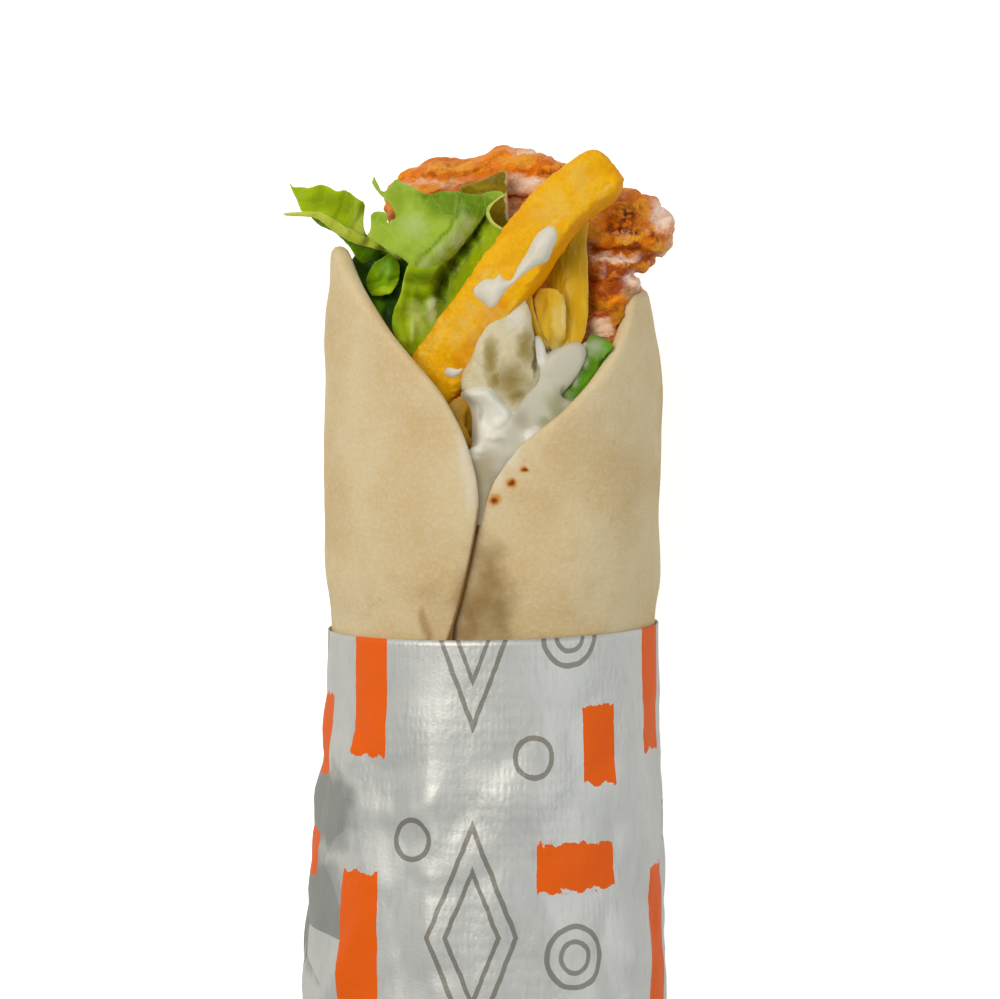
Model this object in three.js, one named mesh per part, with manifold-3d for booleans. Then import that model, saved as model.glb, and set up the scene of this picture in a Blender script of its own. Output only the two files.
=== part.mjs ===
// A chicken wrap in a foil-faced paper sleeve: one thin flatbread rolled round chicken, a thick-cut fry,
// lettuce, pickles, a pickled pepper and garlic sauce. It lies on its back, because it can't stand unheld.
// Millimetres, +Z up. The roll lies along Y with its open end at +Y, and the side with the seam faces up.
import * as THREE from 'three';
import { ParametricGeometry } from 'three/addons/geometries/ParametricGeometry.js';
import { mergeVertices } from 'three/addons/utils/BufferGeometryUtils.js';
import { ImprovedNoise } from 'three/addons/math/ImprovedNoise.js';
import Module from 'manifold-3d';

const wasm = await Module();
wasm.setup();
const { lerp, clamp, smoothstep, degToRad } = THREE.MathUtils;

// Driving dimensions. Y is 0 at the sleeve's open edge, and Z is 0 under the bread.
const ROLL_HALF_WIDTH = 28;     // at the belly of the bare bread
const ROLL_HALF_DEPTH = 27.3;   // before the weight of the roll flattens its underside
const ROLL_AXIS_HEIGHT = 24.5;  // less than the half depth, so the roll lies on a flat strip
const NECK_INSET = 1.4;         // the sleeve holds the roll this much tighter
const NECK_TOP = 10;            // where the bread has swelled out above the sleeve
const MOUTH_INSET = { left: 1.6, right: 3 };  // the rim draws in by this at the open end
const MOUTH_FOOT = 40;          // where the roll starts to draw in
const MOUTH_HEAD = { left: 64, right: 58 };
const BREAD_THICKNESS = 2.2;
const BREAD_FOOT = -86;
const RIM = { right: 55, back: 56.5, left: 62.4 };
const FLAP_GAP = 0.5;           // between the two flaps where one lies over the other
const SLEEVE_THICKNESS = 0.45;
const SLEEVE_FOOT = -99.5;
const SLEEVE_TILT = 0.02;       // the sleeve's edge rises to the right
const CLEARANCE = 0.35;         // between neighbouring pieces

// Where the bread's two free edges lie round the roll, in degrees from +X, at heights along Y.
// Above the seam they part into the open V. Below it the right flap runs on under the left one.
const EDGE_HEIGHTS = [-100, -20, 0, 10, 22, 26, 30, 34, 38, 46, 52, 65];
const LEFT_EDGE = [118, 112, 105.5, 99, 94.4, 95, 97.6, 100.8, 104.8, 122.5, 138, 174];
const RIGHT_EDGE = [135, 130, 116, 104, 93, 90.6, 84.6, 72, 62, 42, 29, 15];
const leftEdge = new THREE.CubicInterpolant(EDGE_HEIGHTS, LEFT_EDGE, 1);
const rightEdge = new THREE.CubicInterpolant(EDGE_HEIGHTS, RIGHT_EDGE, 1);

// Smooth noise from about -1 to 1, with features of the given size.
const perlin = new ImprovedNoise();
function noise(point, size, seed = 0) {
  const shift = seed * 7.31;
  return perlin.noise(point.x / size + shift, point.y / size - shift, point.z / size + shift);
}

// The closed solid of a geometry, with its shared vertices merged and its collapsed triangles dropped.
function solidOf(geometry) {
  const bare = new THREE.BufferGeometry();
  bare.setAttribute('position', geometry.getAttribute('position'));
  bare.setIndex(geometry.index);
  const merged = mergeVertices(bare, 1e-3);
  const corners = merged.index.array;
  const triangles = [];
  for (let i = 0; i < corners.length; i += 3) {
    const [a, b, c] = corners.slice(i, i + 3);
    if (a !== b && b !== c && c !== a) triangles.push(a, b, c);
  }
  return new wasm.Manifold(new wasm.Mesh({
    numProp: 3,
    vertProperties: new Float32Array(merged.attributes.position.array),
    triVerts: new Uint32Array(triangles),
  }));
}

// The geometry of a solid.
function geometryOf(solid) {
  const mesh = solid.getMesh();
  const geometry = new THREE.BufferGeometry();
  geometry.setAttribute('position', new THREE.BufferAttribute(mesh.vertProperties, 3));
  geometry.setIndex(new THREE.BufferAttribute(mesh.triVerts, 1));
  geometry.computeVertexNormals();
  return geometry;
}

// The largest body of a solid, without the scraps that a cut leaves.
function mainBody(solid) {
  return solid.decompose().reduce((best, body) => (body.volume() > best.volume() ? body : best));
}

function join(solids) {
  return solids.reduce((sum, solid) => sum.add(solid));
}

function cutAway(solid, cutters) {
  return mainBody(cutters.reduce((rest, cutter) => rest.subtract(cutter), solid));
}

// The edges of an open sheet that only one of its triangles has, each in that triangle's direction.
function rimEdges(corners) {
  const edges = new Set();
  for (let i = 0; i < corners.length; i += 3) {
    const [a, b, c] = corners.slice(i, i + 3);
    for (const [from, to] of [[a, b], [b, c], [c, a]]) edges.add(from + ',' + to);
  }
  const pairs = [...edges].map((edge) => edge.split(',').map(Number));
  return pairs.filter(([from, to]) => !edges.has(to + ',' + from));
}

// A closed slab from an open sheet: both faces are split into triangles alike, and a rim joins them.
// The spread widens the slab past the sheet's rim.
function thicken(sheet, thickness, spread = 0) {
  const { position, normal } = sheet.attributes;
  const front = [...sheet.index.array];
  const rim = rimEdges(front);
  const vertex = (i) => new THREE.Vector3().fromBufferAttribute(position, i);
  const facing = (i) => new THREE.Vector3().fromBufferAttribute(normal, i);
  const outward = Array.from({ length: position.count }, () => new THREE.Vector3());
  for (const [from, to] of rim) {
    const away = vertex(to).sub(vertex(from)).cross(facing(from)).normalize();
    outward[from].add(away);
    outward[to].add(away);
  }
  const points = [];
  for (const side of [0.5, -0.5]) {
    for (let i = 0; i < position.count; i++) {
      const point = vertex(i).addScaledVector(facing(i), side * thickness);
      point.addScaledVector(outward[i].normalize(), spread);
      points.push(point.x, point.y, point.z);
    }
  }
  const faces = [...front];
  const back = front.map((corner) => corner + position.count).reverse();
  for (const corner of back) faces.push(corner);
  for (const [from, to] of rim) {
    faces.push(to, from, from + position.count);
    faces.push(to, from + position.count, to + position.count);
  }
  const slab = new THREE.BufferGeometry();
  slab.setAttribute('position', new THREE.Float32BufferAttribute(points, 3));
  slab.setIndex(faces);
  return slab;
}

// A lump of food: a ball stretched to an ellipsoid, squared a little, turned about Z and roughened.
function lump({ at, size, square = 2.4, turn = 0, bump = 0.5, grain = 5, seed = 0, detail = 5 }, grow = 0) {
  const ball = new THREE.IcosahedronGeometry(1, detail);
  const place = ball.getAttribute('position');
  const point = new THREE.Vector3();
  const outward = new THREE.Vector3();
  for (let i = 0; i < place.count; i++) {
    point.fromBufferAttribute(place, i).normalize();
    const powers = point.toArray().map((x) => Math.abs(x) ** square);
    point.divideScalar((powers[0] + powers[1] + powers[2]) ** (1 / square));
    outward.set(point.x / size[0], point.y / size[1], point.z / size[2]).normalize();
    point.multiply(new THREE.Vector3(...size));
    point.addScaledVector(outward, grow + bump * noise(point, grain, seed));
    point.applyAxisAngle(new THREE.Vector3(0, 0, 1), degToRad(turn));
    place.setXYZ(i, point.x + at[0], point.y + at[1], point.z + at[2]);
  }
  return solidOf(ball);
}

// A bar of food along a curve: a rounded square or oval section, tapered, with domed ends.
// The higher its point, the later the taper sets in.
const DOME_ROWS = 2;
function bar({ path, half, square = 4, turn = 0, taper = [1, 1], point = 1, dome = 1, bump = 0.3, grain = 4,
  seed = 0, around = 12, along = 8 }, grow = 0) {
  const axis = new THREE.CatmullRomCurve3(path.map((p) => new THREE.Vector3(...p)));
  const up = new THREE.Vector3(0, 0, 1);
  const domeShare = DOME_ROWS / along;
  const superellipse = (c) => Math.sign(c) * Math.abs(c) ** (2 / square);
  function skin(u, v, target) {
    const t = clamp((v - domeShare) / (1 - 2 * domeShare), 0, 1);
    const open = clamp(Math.min(v, 1 - v) / domeShare, 0, 1) * Math.PI / 2;
    const tangent = axis.getTangentAt(t);
    const side = new THREE.Vector3().crossVectors(tangent, up).normalize();
    const front = new THREE.Vector3().crossVectors(side, tangent);
    side.applyAxisAngle(tangent, degToRad(turn));
    front.applyAxisAngle(tangent, degToRad(turn));
    const angle = -2 * Math.PI * (u % 1);
    const scale = lerp(taper[0], taper[1], t ** point);
    const offset = side.multiplyScalar(superellipse(Math.cos(angle)) * (half[0] * scale + grow));
    offset.addScaledVector(front, superellipse(Math.sin(angle)) * (half[1] * scale + grow));
    target.copy(axis.getPointAt(t)).add(offset);
    const rough = 1 + (bump / half[0]) * noise(target, grain, seed);
    target.addScaledVector(offset, Math.sin(open) * rough - 1);
    target.addScaledVector(tangent, (dome + grow) * Math.cos(open) * (v < 0.5 ? -1 : 1));
  }
  return solidOf(new ParametricGeometry(skin, around, along));
}

// A sheet stretched between four edge curves that share their corners, with a bulge across it.
function patch({ left, right, foot, head, bulge }, slices, stacks) {
  const curves = [left, right, foot, head].map(
    (edge) => new THREE.CatmullRomCurve3(edge.map((p) => new THREE.Vector3(...p))));
  const [leftCurve, rightCurve, footCurve, headCurve] = curves;
  const corner = (curve, t) => curve.getPointAt(t);
  const corners = [corner(footCurve, 0), corner(footCurve, 1), corner(headCurve, 0), corner(headCurve, 1)];
  function surface(u, v, target) {
    const a = clamp(u, 0, 1);
    const b = clamp(v, 0, 1);
    target.set(0, 0, 0);
    target.addScaledVector(leftCurve.getPointAt(b), 1 - a).addScaledVector(rightCurve.getPointAt(b), a);
    target.addScaledVector(footCurve.getPointAt(a), 1 - b).addScaledVector(headCurve.getPointAt(a), b);
    target.addScaledVector(corners[0], -(1 - a) * (1 - b)).addScaledVector(corners[1], -a * (1 - b));
    target.addScaledVector(corners[2], -(1 - a) * b).addScaledVector(corners[3], -a * b);
    target.z += bulge(a, b);
  }
  return new ParametricGeometry(surface, slices, stacks);
}

// Half the width of the roll at an angle from +X and a height: drawn in by the sleeve and at the mouth.
function rollHalfWidth(angle, y) {
  const rightness = 0.5 + 0.5 * Math.cos(angle);
  const head = lerp(MOUTH_HEAD.left, MOUTH_HEAD.right, rightness);
  const mouth = lerp(MOUTH_INSET.left, MOUTH_INSET.right, rightness) * smoothstep(y, MOUTH_FOOT, head);
  const neck = NECK_INSET * (1 - smoothstep(y, 0, NECK_TOP));
  return ROLL_HALF_WIDTH - neck - mouth;
}

// A point of the roll's skin at an angle from +X, moved in by the inset, over the flat underside.
function rollPoint(angle, y, inset, target) {
  const width = rollHalfWidth(angle, y);
  const depth = width * ROLL_HALF_DEPTH / ROLL_HALF_WIDTH;
  const z = ROLL_AXIS_HEIGHT + (depth - inset) * Math.sin(angle);
  return target.set((width - inset) * Math.cos(angle), y, Math.max(z, inset));
}

// How far the right flap sinks to run under the left one, at an angle in degrees.
const TUCK_FROM = 58;
const TUCK_TO = 90;
function tuck(angle) {
  return (BREAD_THICKNESS + FLAP_GAP) * smoothstep(angle, TUCK_FROM, TUCK_TO);
}

// The bread: u runs round the roll from the right flap's free edge, v from the foot to the rim.
const BREAD_AROUND = 40;
const BREAD_ALONG = 17;
const BREAD_HIDDEN_SHARE = 4 / BREAD_ALONG;  // rows inside the sleeve, where the roll is straight
const BREAD_SWELL = 0.6;
const SWELL_SIZE = 17;
function bread(grow = 0) {
  function sheet(u, v, target) {
    const rim = lerp(lerp(RIM.right, RIM.back, smoothstep(u, 0, 0.4)), RIM.left, smoothstep(u, 0.7, 1));
    const bareShare = (v - BREAD_HIDDEN_SHARE) / (1 - BREAD_HIDDEN_SHARE);
    const y = bareShare < 0 ? lerp(BREAD_FOOT, 0, v / BREAD_HIDDEN_SHARE) : lerp(0, rim, bareShare);
    const angle = lerp(rightEdge.evaluate(y)[0], leftEdge.evaluate(y)[0] - 360, u);
    rollPoint(degToRad(angle), y, BREAD_THICKNESS / 2 + tuck(angle), target);
    const free = smoothstep(y, NECK_TOP / 2, 2 * NECK_TOP) * smoothstep(target.z, 6, 16);
    const swell = 1 + free * BREAD_SWELL / ROLL_HALF_WIDTH * noise(target, SWELL_SIZE);
    target.x *= swell;
    target.z = ROLL_AXIS_HEIGHT + (target.z - ROLL_AXIS_HEIGHT) * swell;
  }
  const rolled = new ParametricGeometry(sheet, BREAD_AROUND, BREAD_ALONG);
  return solidOf(thicken(rolled, BREAD_THICKNESS + 2 * grow, grow));
}

// The sleeve: a cup of foil-faced paper, tight at its edge, looser and creased below, gathered at its foot.
// Its profile holds shares of the roll's radius against heights, and the inner wall follows the outer one.
const SLEEVE_AROUND = 40;
const SLEEVE_PLEATS = 10;
const PLEAT_DEPTH = 0.07;       // as a share of the radius
const PLEAT_TOP = -80;
const SLEEVE_SLACK = { left: 4.2, right: 1.4, top: 1.6 };
const SLACK_FOOT = 62;          // how far below its edge the sleeve has all its slack
const CREASE = { depth: 0.75, size: 15, seed: 3 };
const SLEEVE_BASE = [[0, 0], [0.42, 1], [0.74, 3.6], [0.93, 7.6]];
const SLEEVE_WALL = [-88, -78, -66, -54, -42, -30, -18, -8, 0];
function sleeve() {
  const base = SLEEVE_BASE.map(([share, rise]) => new THREE.Vector2(share, SLEEVE_FOOT + rise));
  const innerBase = base.map((p) => new THREE.Vector2(p.x, p.y + SLEEVE_THICKNESS));
  const wall = SLEEVE_WALL.map((y) => new THREE.Vector2(1, y));
  const outer = [...base, ...wall];
  const inner = [...innerBase, ...wall];
  const cup = new THREE.LatheGeometry([...inner, ...outer.reverse()], SLEEVE_AROUND);
  const place = cup.getAttribute('position');
  const rows = inner.length + outer.length;
  const spot = new THREE.Vector3();
  for (let i = 0; i < place.count; i++) {
    const share = Math.hypot(place.getX(i), place.getZ(i));
    const y = place.getY(i);
    const angle = 2 * Math.PI * Math.floor(i / rows) / SLEEVE_AROUND;
    const isOuter = i % rows >= inner.length;
    const inset = -CLEARANCE - (isOuter ? SLEEVE_THICKNESS : 0);
    rollPoint(angle, Math.min(y, 0), inset, spot);
    const offTable = smoothstep(spot.z, 2, 14);
    const loose = smoothstep(-y, 4, SLACK_FOOT) * offTable;
    const creased = smoothstep(-y, 6, 20) * offTable;
    const crease = CREASE.depth * creased * Math.abs(noise(spot, CREASE.size, CREASE.seed));
    const sideways = Math.cos(angle);
    const sideSlack = (sideways < 0 ? SLEEVE_SLACK.left : SLEEVE_SLACK.right) * loose * sideways;
    spot.x += sideSlack + crease * Math.sign(sideways);
    spot.z += (SLEEVE_SLACK.top * loose + crease) * Math.max(Math.sin(angle), 0);
    const gather = 1 - smoothstep(y, SLEEVE_FOOT, PLEAT_TOP);
    const pleat = PLEAT_DEPTH * (0.5 + 0.5 * Math.cos(angle * SLEEVE_PLEATS)) * gather;
    const reach = share * (1 + pleat);
    const x = spot.x * reach;
    const z = ROLL_AXIS_HEIGHT + (spot.z - ROLL_AXIS_HEIGHT) * reach;
    const tilt = SLEEVE_TILT * x * smoothstep(y, -12, 0);
    place.setXYZ(i, x, y + tilt, Math.max(z, inset));
  }
  return solidOf(cup);
}

// The fry: thick cut, craggy, leaning to the right out of the mouth, with sauce drizzled on its face.
const FRY = {
  path: [[-15.1, 33.7, 34], [-9.2, 41.3, 38.4], [-3, 50.5, 41.4], [3.4, 59.3, 42.4], [11, 68.6, 42],
    [17.8, 74, 40.8]],
  half: [5.9, 4.6], square: 5, turn: -14, taper: [0.9, 0.66], dome: 2.4, bump: 0.5, grain: 3.2, seed: 2,
  around: 16, along: 11,
};
const FRY_SAUCE = [
  { at: [8, 63.4, 46.6], size: [1.9, 3.2, 0.9], turn: -34, bump: 0.3, grain: 3, seed: 4, detail: 2 },
  { at: [4.6, 58.9, 46.8], size: [1.4, 3.9, 0.8], turn: -40, bump: 0.3, grain: 3, seed: 5, detail: 2 },
  { at: [-0.4, 55.5, 46.5], size: [2.8, 2.3, 1], turn: 15, bump: 0.4, grain: 3, seed: 6, detail: 2 },
];
function fry(grow = 0) {
  const drizzle = FRY_SAUCE.map((blob) => lump(blob, grow));
  return join([bar(FRY, grow), ...drizzle]);
}

// Lettuce: thin wavy leaves, each stretched between its edges, creased where it bends and ruffled.
const LEAF_THICKNESS = 0.7;
const LEAF_FRONT = {
  left: [[-14.6, 46.2, 37.5], [-17, 53.5, 37], [-16, 59, 37.8], [-19.4, 64.6, 36], [-20.4, 69.6, 34],
    [-19.4, 74.2, 32]],
  right: [[-12.6, 47, 37], [-9.2, 53, 36.2], [-4.6, 59.8, 35.8], [-1.2, 64.6, 36.4], [0.8, 68, 37],
    [1.4, 71.6, 35.6]],
  foot: [[-14.6, 46.2, 37.5], [-13.6, 46.4, 37.6], [-12.6, 47, 37]],
  head: [[-19.4, 74.2, 32], [-15, 73.8, 31.6], [-9.4, 72, 32], [-3, 72.4, 33.4], [1.4, 71.6, 35.6]],
  bulge: (u, v) => 2.6 * Math.sin(Math.PI * u) * Math.exp(-(((v - 0.5) / 0.22) ** 2))
    + 0.7 * Math.sin(9 * u + 4 * v) * v,
};
const LEAF_LEFT = {
  left: [[-18.4, 57, 28.6], [-20.9, 63, 32.6], [-26.6, 66.6, 34.4], [-30, 68.4, 35], [-34, 68.8, 34.6]],
  right: [[-16.4, 59, 26.6], [-18.6, 65.6, 29.6], [-21, 70, 30.6], [-25.6, 72.4, 30.8], [-33.6, 72.6, 31.6]],
  foot: [[-18.4, 57, 28.6], [-17, 57.6, 27.8], [-16.4, 59, 26.6]],
  head: [[-34, 68.8, 34.6], [-33.4, 70.6, 33], [-33.6, 72.6, 31.6]],
  bulge: (u, v) => 0.6 * Math.sin(7 * v + 5 * u) * v,
};
const LEAF_INNER = {
  left: [[-20.4, 44, 30], [-21.6, 51, 29.4], [-22, 57, 26.6], [-21.4, 62, 23]],
  right: [[-13, 45, 31.4], [-12.6, 52, 30.6], [-13.4, 58, 29], [-14.6, 63, 26.4]],
  foot: [[-20.4, 44, 30], [-16.6, 44, 32.2], [-13, 45, 31.4]],
  head: [[-21.4, 62, 23], [-18, 64.4, 26.4], [-14.6, 63, 26.4]],
  bulge: (u, v) => 1.6 * Math.sin(Math.PI * u) * Math.sin(2.4 * Math.PI * v),
};
function leaf(shape, slices, stacks) {
  return (grow = 0) => solidOf(thicken(patch(shape, slices, stacks), LEAF_THICKNESS + 2 * grow, grow));
}

// The pickled pepper: a curled strip that goes down behind, turns at its foot and comes up in front.
const PEPPER_THICKNESS = 1.9;
const PEPPER = {
  left: [[9.8, 65, 35.6], [9.6, 57, 36.4], [8.6, 50, 38.4], [7.2, 48.2, 41.6], [5, 52, 43.4],
    [4.9, 57.6, 43]],
  right: [[15.6, 64.6, 36.2], [16.2, 56, 37.6], [15.4, 48.6, 39], [12.4, 46.6, 41.8], [10.4, 50.6, 43.6],
    [9.8, 56.6, 43.4]],
  foot: [[9.8, 65, 35.6], [12.8, 65.6, 35.2], [15.6, 64.6, 36.2]],
  head: [[4.9, 57.6, 43], [7.4, 58.4, 43.9], [9.8, 56.6, 43.4]],
  bulge: () => 0,
};
function pepper(grow = 0) {
  return solidOf(thicken(patch(PEPPER, 4, 13), PEPPER_THICKNESS + 2 * grow, grow));
}

// Pickles: a spear under the sauce, one with green skin by the right flap, one by the seam, a slice behind.
const PICKLE_MIDDLE = {
  path: [[0.6, 31, 42.2], [0.9, 40, 44.4], [1.6, 47.6, 45], [3.7, 55.2, 44.6]],
  half: [5.8, 2.5], square: 2.6, taper: [1.02, 0.1], point: 3, turn: 6, seed: 8, around: 14, along: 11,
};
const PICKLE_RIGHT = {
  path: [[9.5, 33.4, 41.2], [13.6, 40.4, 41.2], [17.6, 47, 39.4]],
  half: [3, 2.3], square: 2.4, turn: -20, seed: 9, along: 9,
};
const PICKLE_LEFT = {
  path: [[-6.4, 23, 42.2], [-6, 31, 42.8], [-5.4, 38.6, 41]],
  half: [2.4, 2], square: 2.4, seed: 10,
};
const PICKLE_BACK = {
  path: [[-4, 60, 28], [-2, 67, 28.4], [-0.4, 74, 28]],
  half: [2.9, 1.3], square: 3, taper: [1, 0.75], turn: 4, seed: 11, bump: 0.2,
};
const pickle = (shape) => (grow = 0) => bar(shape, grow);

// Chicken: shavings packed along the whole roll, and the pieces that show at the mouth fused to them.
const CHICKEN_FOOT = -84;
const CHICKEN_SHOULDER = 16;   // up to here the chicken fills the roll, and above it only the back
const CHICKEN_PIECES = [
  { at: [-1, 38, 15], size: [17.5, 33, 9.5], bump: 1.2, grain: 7, seed: 20, detail: 3 },
  { at: [-6.8, 70.4, 17], size: [10.6, 6.2, 7], turn: 10, bump: 1.2, grain: 5, seed: 21, detail: 4 },
  { at: [4.6, 70.6, 18], size: [8.6, 7.8, 7.2], turn: -14, bump: 1.3, grain: 5, seed: 22, detail: 4 },
  { at: [21.5, 64.4, 29], size: [7.6, 6.6, 6.6], turn: 20, bump: 1.4, grain: 4, seed: 23, detail: 5 },
  { at: [19.2, 55, 31.5], size: [4.6, 8, 5], turn: 6, bump: 0.9, grain: 4, seed: 24, detail: 2 },
  { at: [16, 40, 25], size: [5.5, 14, 7.5], turn: 0, bump: 0.9, grain: 5, seed: 25, detail: 2 },
  { at: [18.4, 49.6, 35], size: [3.6, 4.4, 3], turn: -20, bump: 0.6, grain: 3, seed: 26, detail: 3 },
];
const CORE_END = 0.1;           // share of the core's rows that close its two ends
const CORE_ROUGHNESS = { depth: 1.5, size: 8, seed: 30 };
function chickenCore() {
  function skin(u, v, target) {
    const close = Math.min(1, Math.min(v, 1 - v) / CORE_END);
    const y = lerp(CHICKEN_FOOT, CHICKEN_SHOULDER, clamp((v - CORE_END) / (1 - 2 * CORE_END), 0, 1));
    const angle = lerp(360, 0, u % 1);
    const underFlaps = smoothstep(angle, 35, 70) * (1 - smoothstep(angle, 140, 165));
    const flaps = BREAD_THICKNESS + (BREAD_THICKNESS + FLAP_GAP) * underFlaps;
    rollPoint(degToRad(angle), y, flaps + 2 * CLEARANCE, target);
    target.x *= close;
    target.z = ROLL_AXIS_HEIGHT + (target.z - ROLL_AXIS_HEIGHT) * close;
    const rough = CORE_ROUGHNESS.depth * noise(target, CORE_ROUGHNESS.size, CORE_ROUGHNESS.seed);
    if (v > 0.5) target.y += rough * close;
  }
  return solidOf(new ParametricGeometry(skin, 20, 9));
}

// The garlic sauce: a soft mass behind the V, a dollop by the seam, and sauce down to the V's foot.
const SAUCE_BLOBS = [
  { at: [4, 33, 36.6], size: [12.5, 15, 8.4], bump: 0.6, grain: 9, seed: 40, detail: 3 },
  { at: [-0.9, 36, 45], size: [4.2, 5, 3], turn: -12, bump: 0.9, grain: 4, seed: 42, detail: 3 },
  { at: [8.4, 40.6, 42.4], size: [3.3, 9, 3.4], turn: -43, bump: 0.4, grain: 6, seed: 43, detail: 3 },
  { at: [1.6, 29, 43], size: [5.4, 8, 3.4], turn: -18, bump: 0.4, grain: 5, seed: 44, detail: 3 },
];

// The pieces, fitted in order: each later one is cut back from those before it.
const makers = {
  pickle_middle: pickle(PICKLE_MIDDLE),
  fry,
  lettuce_front: leaf(LEAF_FRONT, 11, 11),
  lettuce_left: leaf(LEAF_LEFT, 9, 7),
  lettuce_inner: leaf(LEAF_INNER, 7, 8),
  pickled_pepper: pepper,
  pickle_right: pickle(PICKLE_RIGHT),
  pickle_left: pickle(PICKLE_LEFT),
  pickle_back: pickle(PICKLE_BACK),
};
const solids = { flatbread: bread(), sleeve: sleeve() };
const taken = [bread(CLEARANCE)];
for (const [name, make] of Object.entries(makers)) {
  solids[name] = cutAway(make(), taken);
  taken.push(make(CLEARANCE));
}
const pieces = CHICKEN_PIECES.map((shape) => lump(shape));
solids.chicken = cutAway(join([chickenCore(), ...pieces]), taken);
const piecesTaken = CHICKEN_PIECES.map((shape) => lump(shape, CLEARANCE));
const sauce = join(SAUCE_BLOBS.map((shape) => lump(shape)));
solids.garlic_sauce = cutAway(sauce, [...taken, ...piecesTaken]);

// Plain finishes, close to the food's own colours.
const finishes = {
  flatbread: { color: 0xdcc596, roughness: 0.8 },
  sleeve: { color: 0xc4c7c6, roughness: 0.35, metalness: 0.7 },
  fry: { color: 0xe5a81c, roughness: 0.6 },
  lettuce_front: { color: 0x8fb03a, roughness: 0.5 },
  lettuce_left: { color: 0x86a624, roughness: 0.5 },
  lettuce_inner: { color: 0x4e7a1c, roughness: 0.5 },
  pickled_pepper: { color: 0xc9a22a, roughness: 0.3 },
  pickle_middle: { color: 0xa8965a, roughness: 0.35 },
  pickle_right: { color: 0x7f9438, roughness: 0.35 },
  pickle_left: { color: 0x97773a, roughness: 0.4 },
  pickle_back: { color: 0x8a7d22, roughness: 0.3 },
  chicken: { color: 0xc67a3c, roughness: 0.6 },
  garlic_sauce: { color: 0xece8db, roughness: 0.3 },
};

// The wrap in the part's own frame: the origin is under the middle of its bounding box, on the table.
const wrap = new THREE.Group();
for (const [name, solid] of Object.entries(solids)) {
  const mesh = new THREE.Mesh(geometryOf(solid), new THREE.MeshStandardMaterial(finishes[name]));
  mesh.name = name;
  wrap.add(mesh);
}
const box = new THREE.Box3().setFromObject(wrap);
const centre = box.getCenter(new THREE.Vector3());
wrap.position.set(-centre.x, -centre.y, -box.min.z);
const part = new THREE.Group();
part.add(wrap);

export default part;
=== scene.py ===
# %% [markdown]
# # A chicken shawarma wrap in its paper sleeve
# The wrap is one thin flatbread rolled round its filling and held in a sleeve of foil-faced paper. It lies
# on its back with the seam up, and the camera looks nearly straight down on it. The CAD model gives every
# piece its place and its form. The cells below make each piece's surface: the crust, the leaf edge, the
# crease that the solid is too plain for.

# %% Load the solids
import math

import bpy
from mathutils import Matrix, Vector, geometry, kdtree, noise


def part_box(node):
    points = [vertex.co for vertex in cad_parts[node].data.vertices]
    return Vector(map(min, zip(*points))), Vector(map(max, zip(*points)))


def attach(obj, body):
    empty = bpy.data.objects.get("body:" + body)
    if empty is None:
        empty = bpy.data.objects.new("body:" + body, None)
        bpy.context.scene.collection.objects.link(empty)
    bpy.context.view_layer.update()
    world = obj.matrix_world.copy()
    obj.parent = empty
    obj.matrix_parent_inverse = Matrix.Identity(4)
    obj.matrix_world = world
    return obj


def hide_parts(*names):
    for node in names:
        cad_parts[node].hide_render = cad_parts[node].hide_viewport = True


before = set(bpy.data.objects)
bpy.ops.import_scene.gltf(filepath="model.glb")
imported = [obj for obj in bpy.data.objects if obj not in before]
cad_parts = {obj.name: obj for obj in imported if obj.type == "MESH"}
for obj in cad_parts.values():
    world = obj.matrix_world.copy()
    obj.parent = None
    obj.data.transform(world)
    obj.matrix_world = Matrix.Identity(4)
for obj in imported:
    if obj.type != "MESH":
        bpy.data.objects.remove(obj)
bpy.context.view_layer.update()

print("solids:", ", ".join(sorted(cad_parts)))

# %% [markdown]
# ## The roll's own measures
# The CAD frame has its origin under the middle of the whole box. It is easier to think from the roll
# itself: X across from its axis, Y along it from the sleeve's edge towards the open end, Z up from under
# the bread. All sizes below are millimetres in that frame, and one function turns them into metres in the
# CAD frame.

# %% The roll's frame
MM = 0.001
ROLL_HALF_WIDTH = 28
ROLL_AXIS_HEIGHT = 24.5
SLEEVE_LENGTH = 99.5

bread_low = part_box("flatbread")[0]
sleeve_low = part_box("sleeve")[0]
ORIGIN = Vector((bread_low.x + ROLL_HALF_WIDTH * MM, sleeve_low.y + SLEEVE_LENGTH * MM, bread_low.z))


def roll(x, y, z):
    """A point of the roll's frame, in millimetres, as metres in the CAD frame."""
    return ORIGIN + Vector((x, y, z)) * MM


def in_roll(place):
    """A place in the CAD frame, in metres, as millimetres in the roll's frame."""
    return (place - ORIGIN) / MM


print("the roll's frame starts at", [round(c / MM, 2) for c in ORIGIN], "mm")

# %% [markdown]
# ## Camera and light
# The photograph was taken from nearly straight on with a long lens. The wrap lies down here, so the camera
# hangs 0.9 m above it, tipped by 4 degrees. A wide soft light from the side of the open end gives the round
# form its shading, a weaker one fills the other side, and a pale floor throws light back from below. The
# standard view transform keeps the colours as they are mixed.

# %% Camera
VIEW_DISTANCE = 900
VIEW_TILT = math.radians(4)
VIEW_CENTRE = (1.155, 20.76, ROLL_AXIS_HEIGHT)
VIEW_WIDTH = 165
SENSOR_WIDTH = 36

scene = bpy.context.scene
scene.view_settings.view_transform = "Standard"
towards_camera = Vector((0, math.sin(VIEW_TILT), math.cos(VIEW_TILT)))
bpy.ops.object.select_all(action="DESELECT")
bpy.ops.object.camera_add(location=roll(*VIEW_CENTRE) + towards_camera * VIEW_DISTANCE * MM,
                          rotation=(-VIEW_TILT, 0, 0))
camera = bpy.context.object
camera.data.sensor_width = SENSOR_WIDTH
camera.data.lens = SENSOR_WIDTH * VIEW_DISTANCE / VIEW_WIDTH
camera.data.clip_start = 0.01
scene.camera = camera
print("lens", round(camera.data.lens, 1), "mm")


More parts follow.
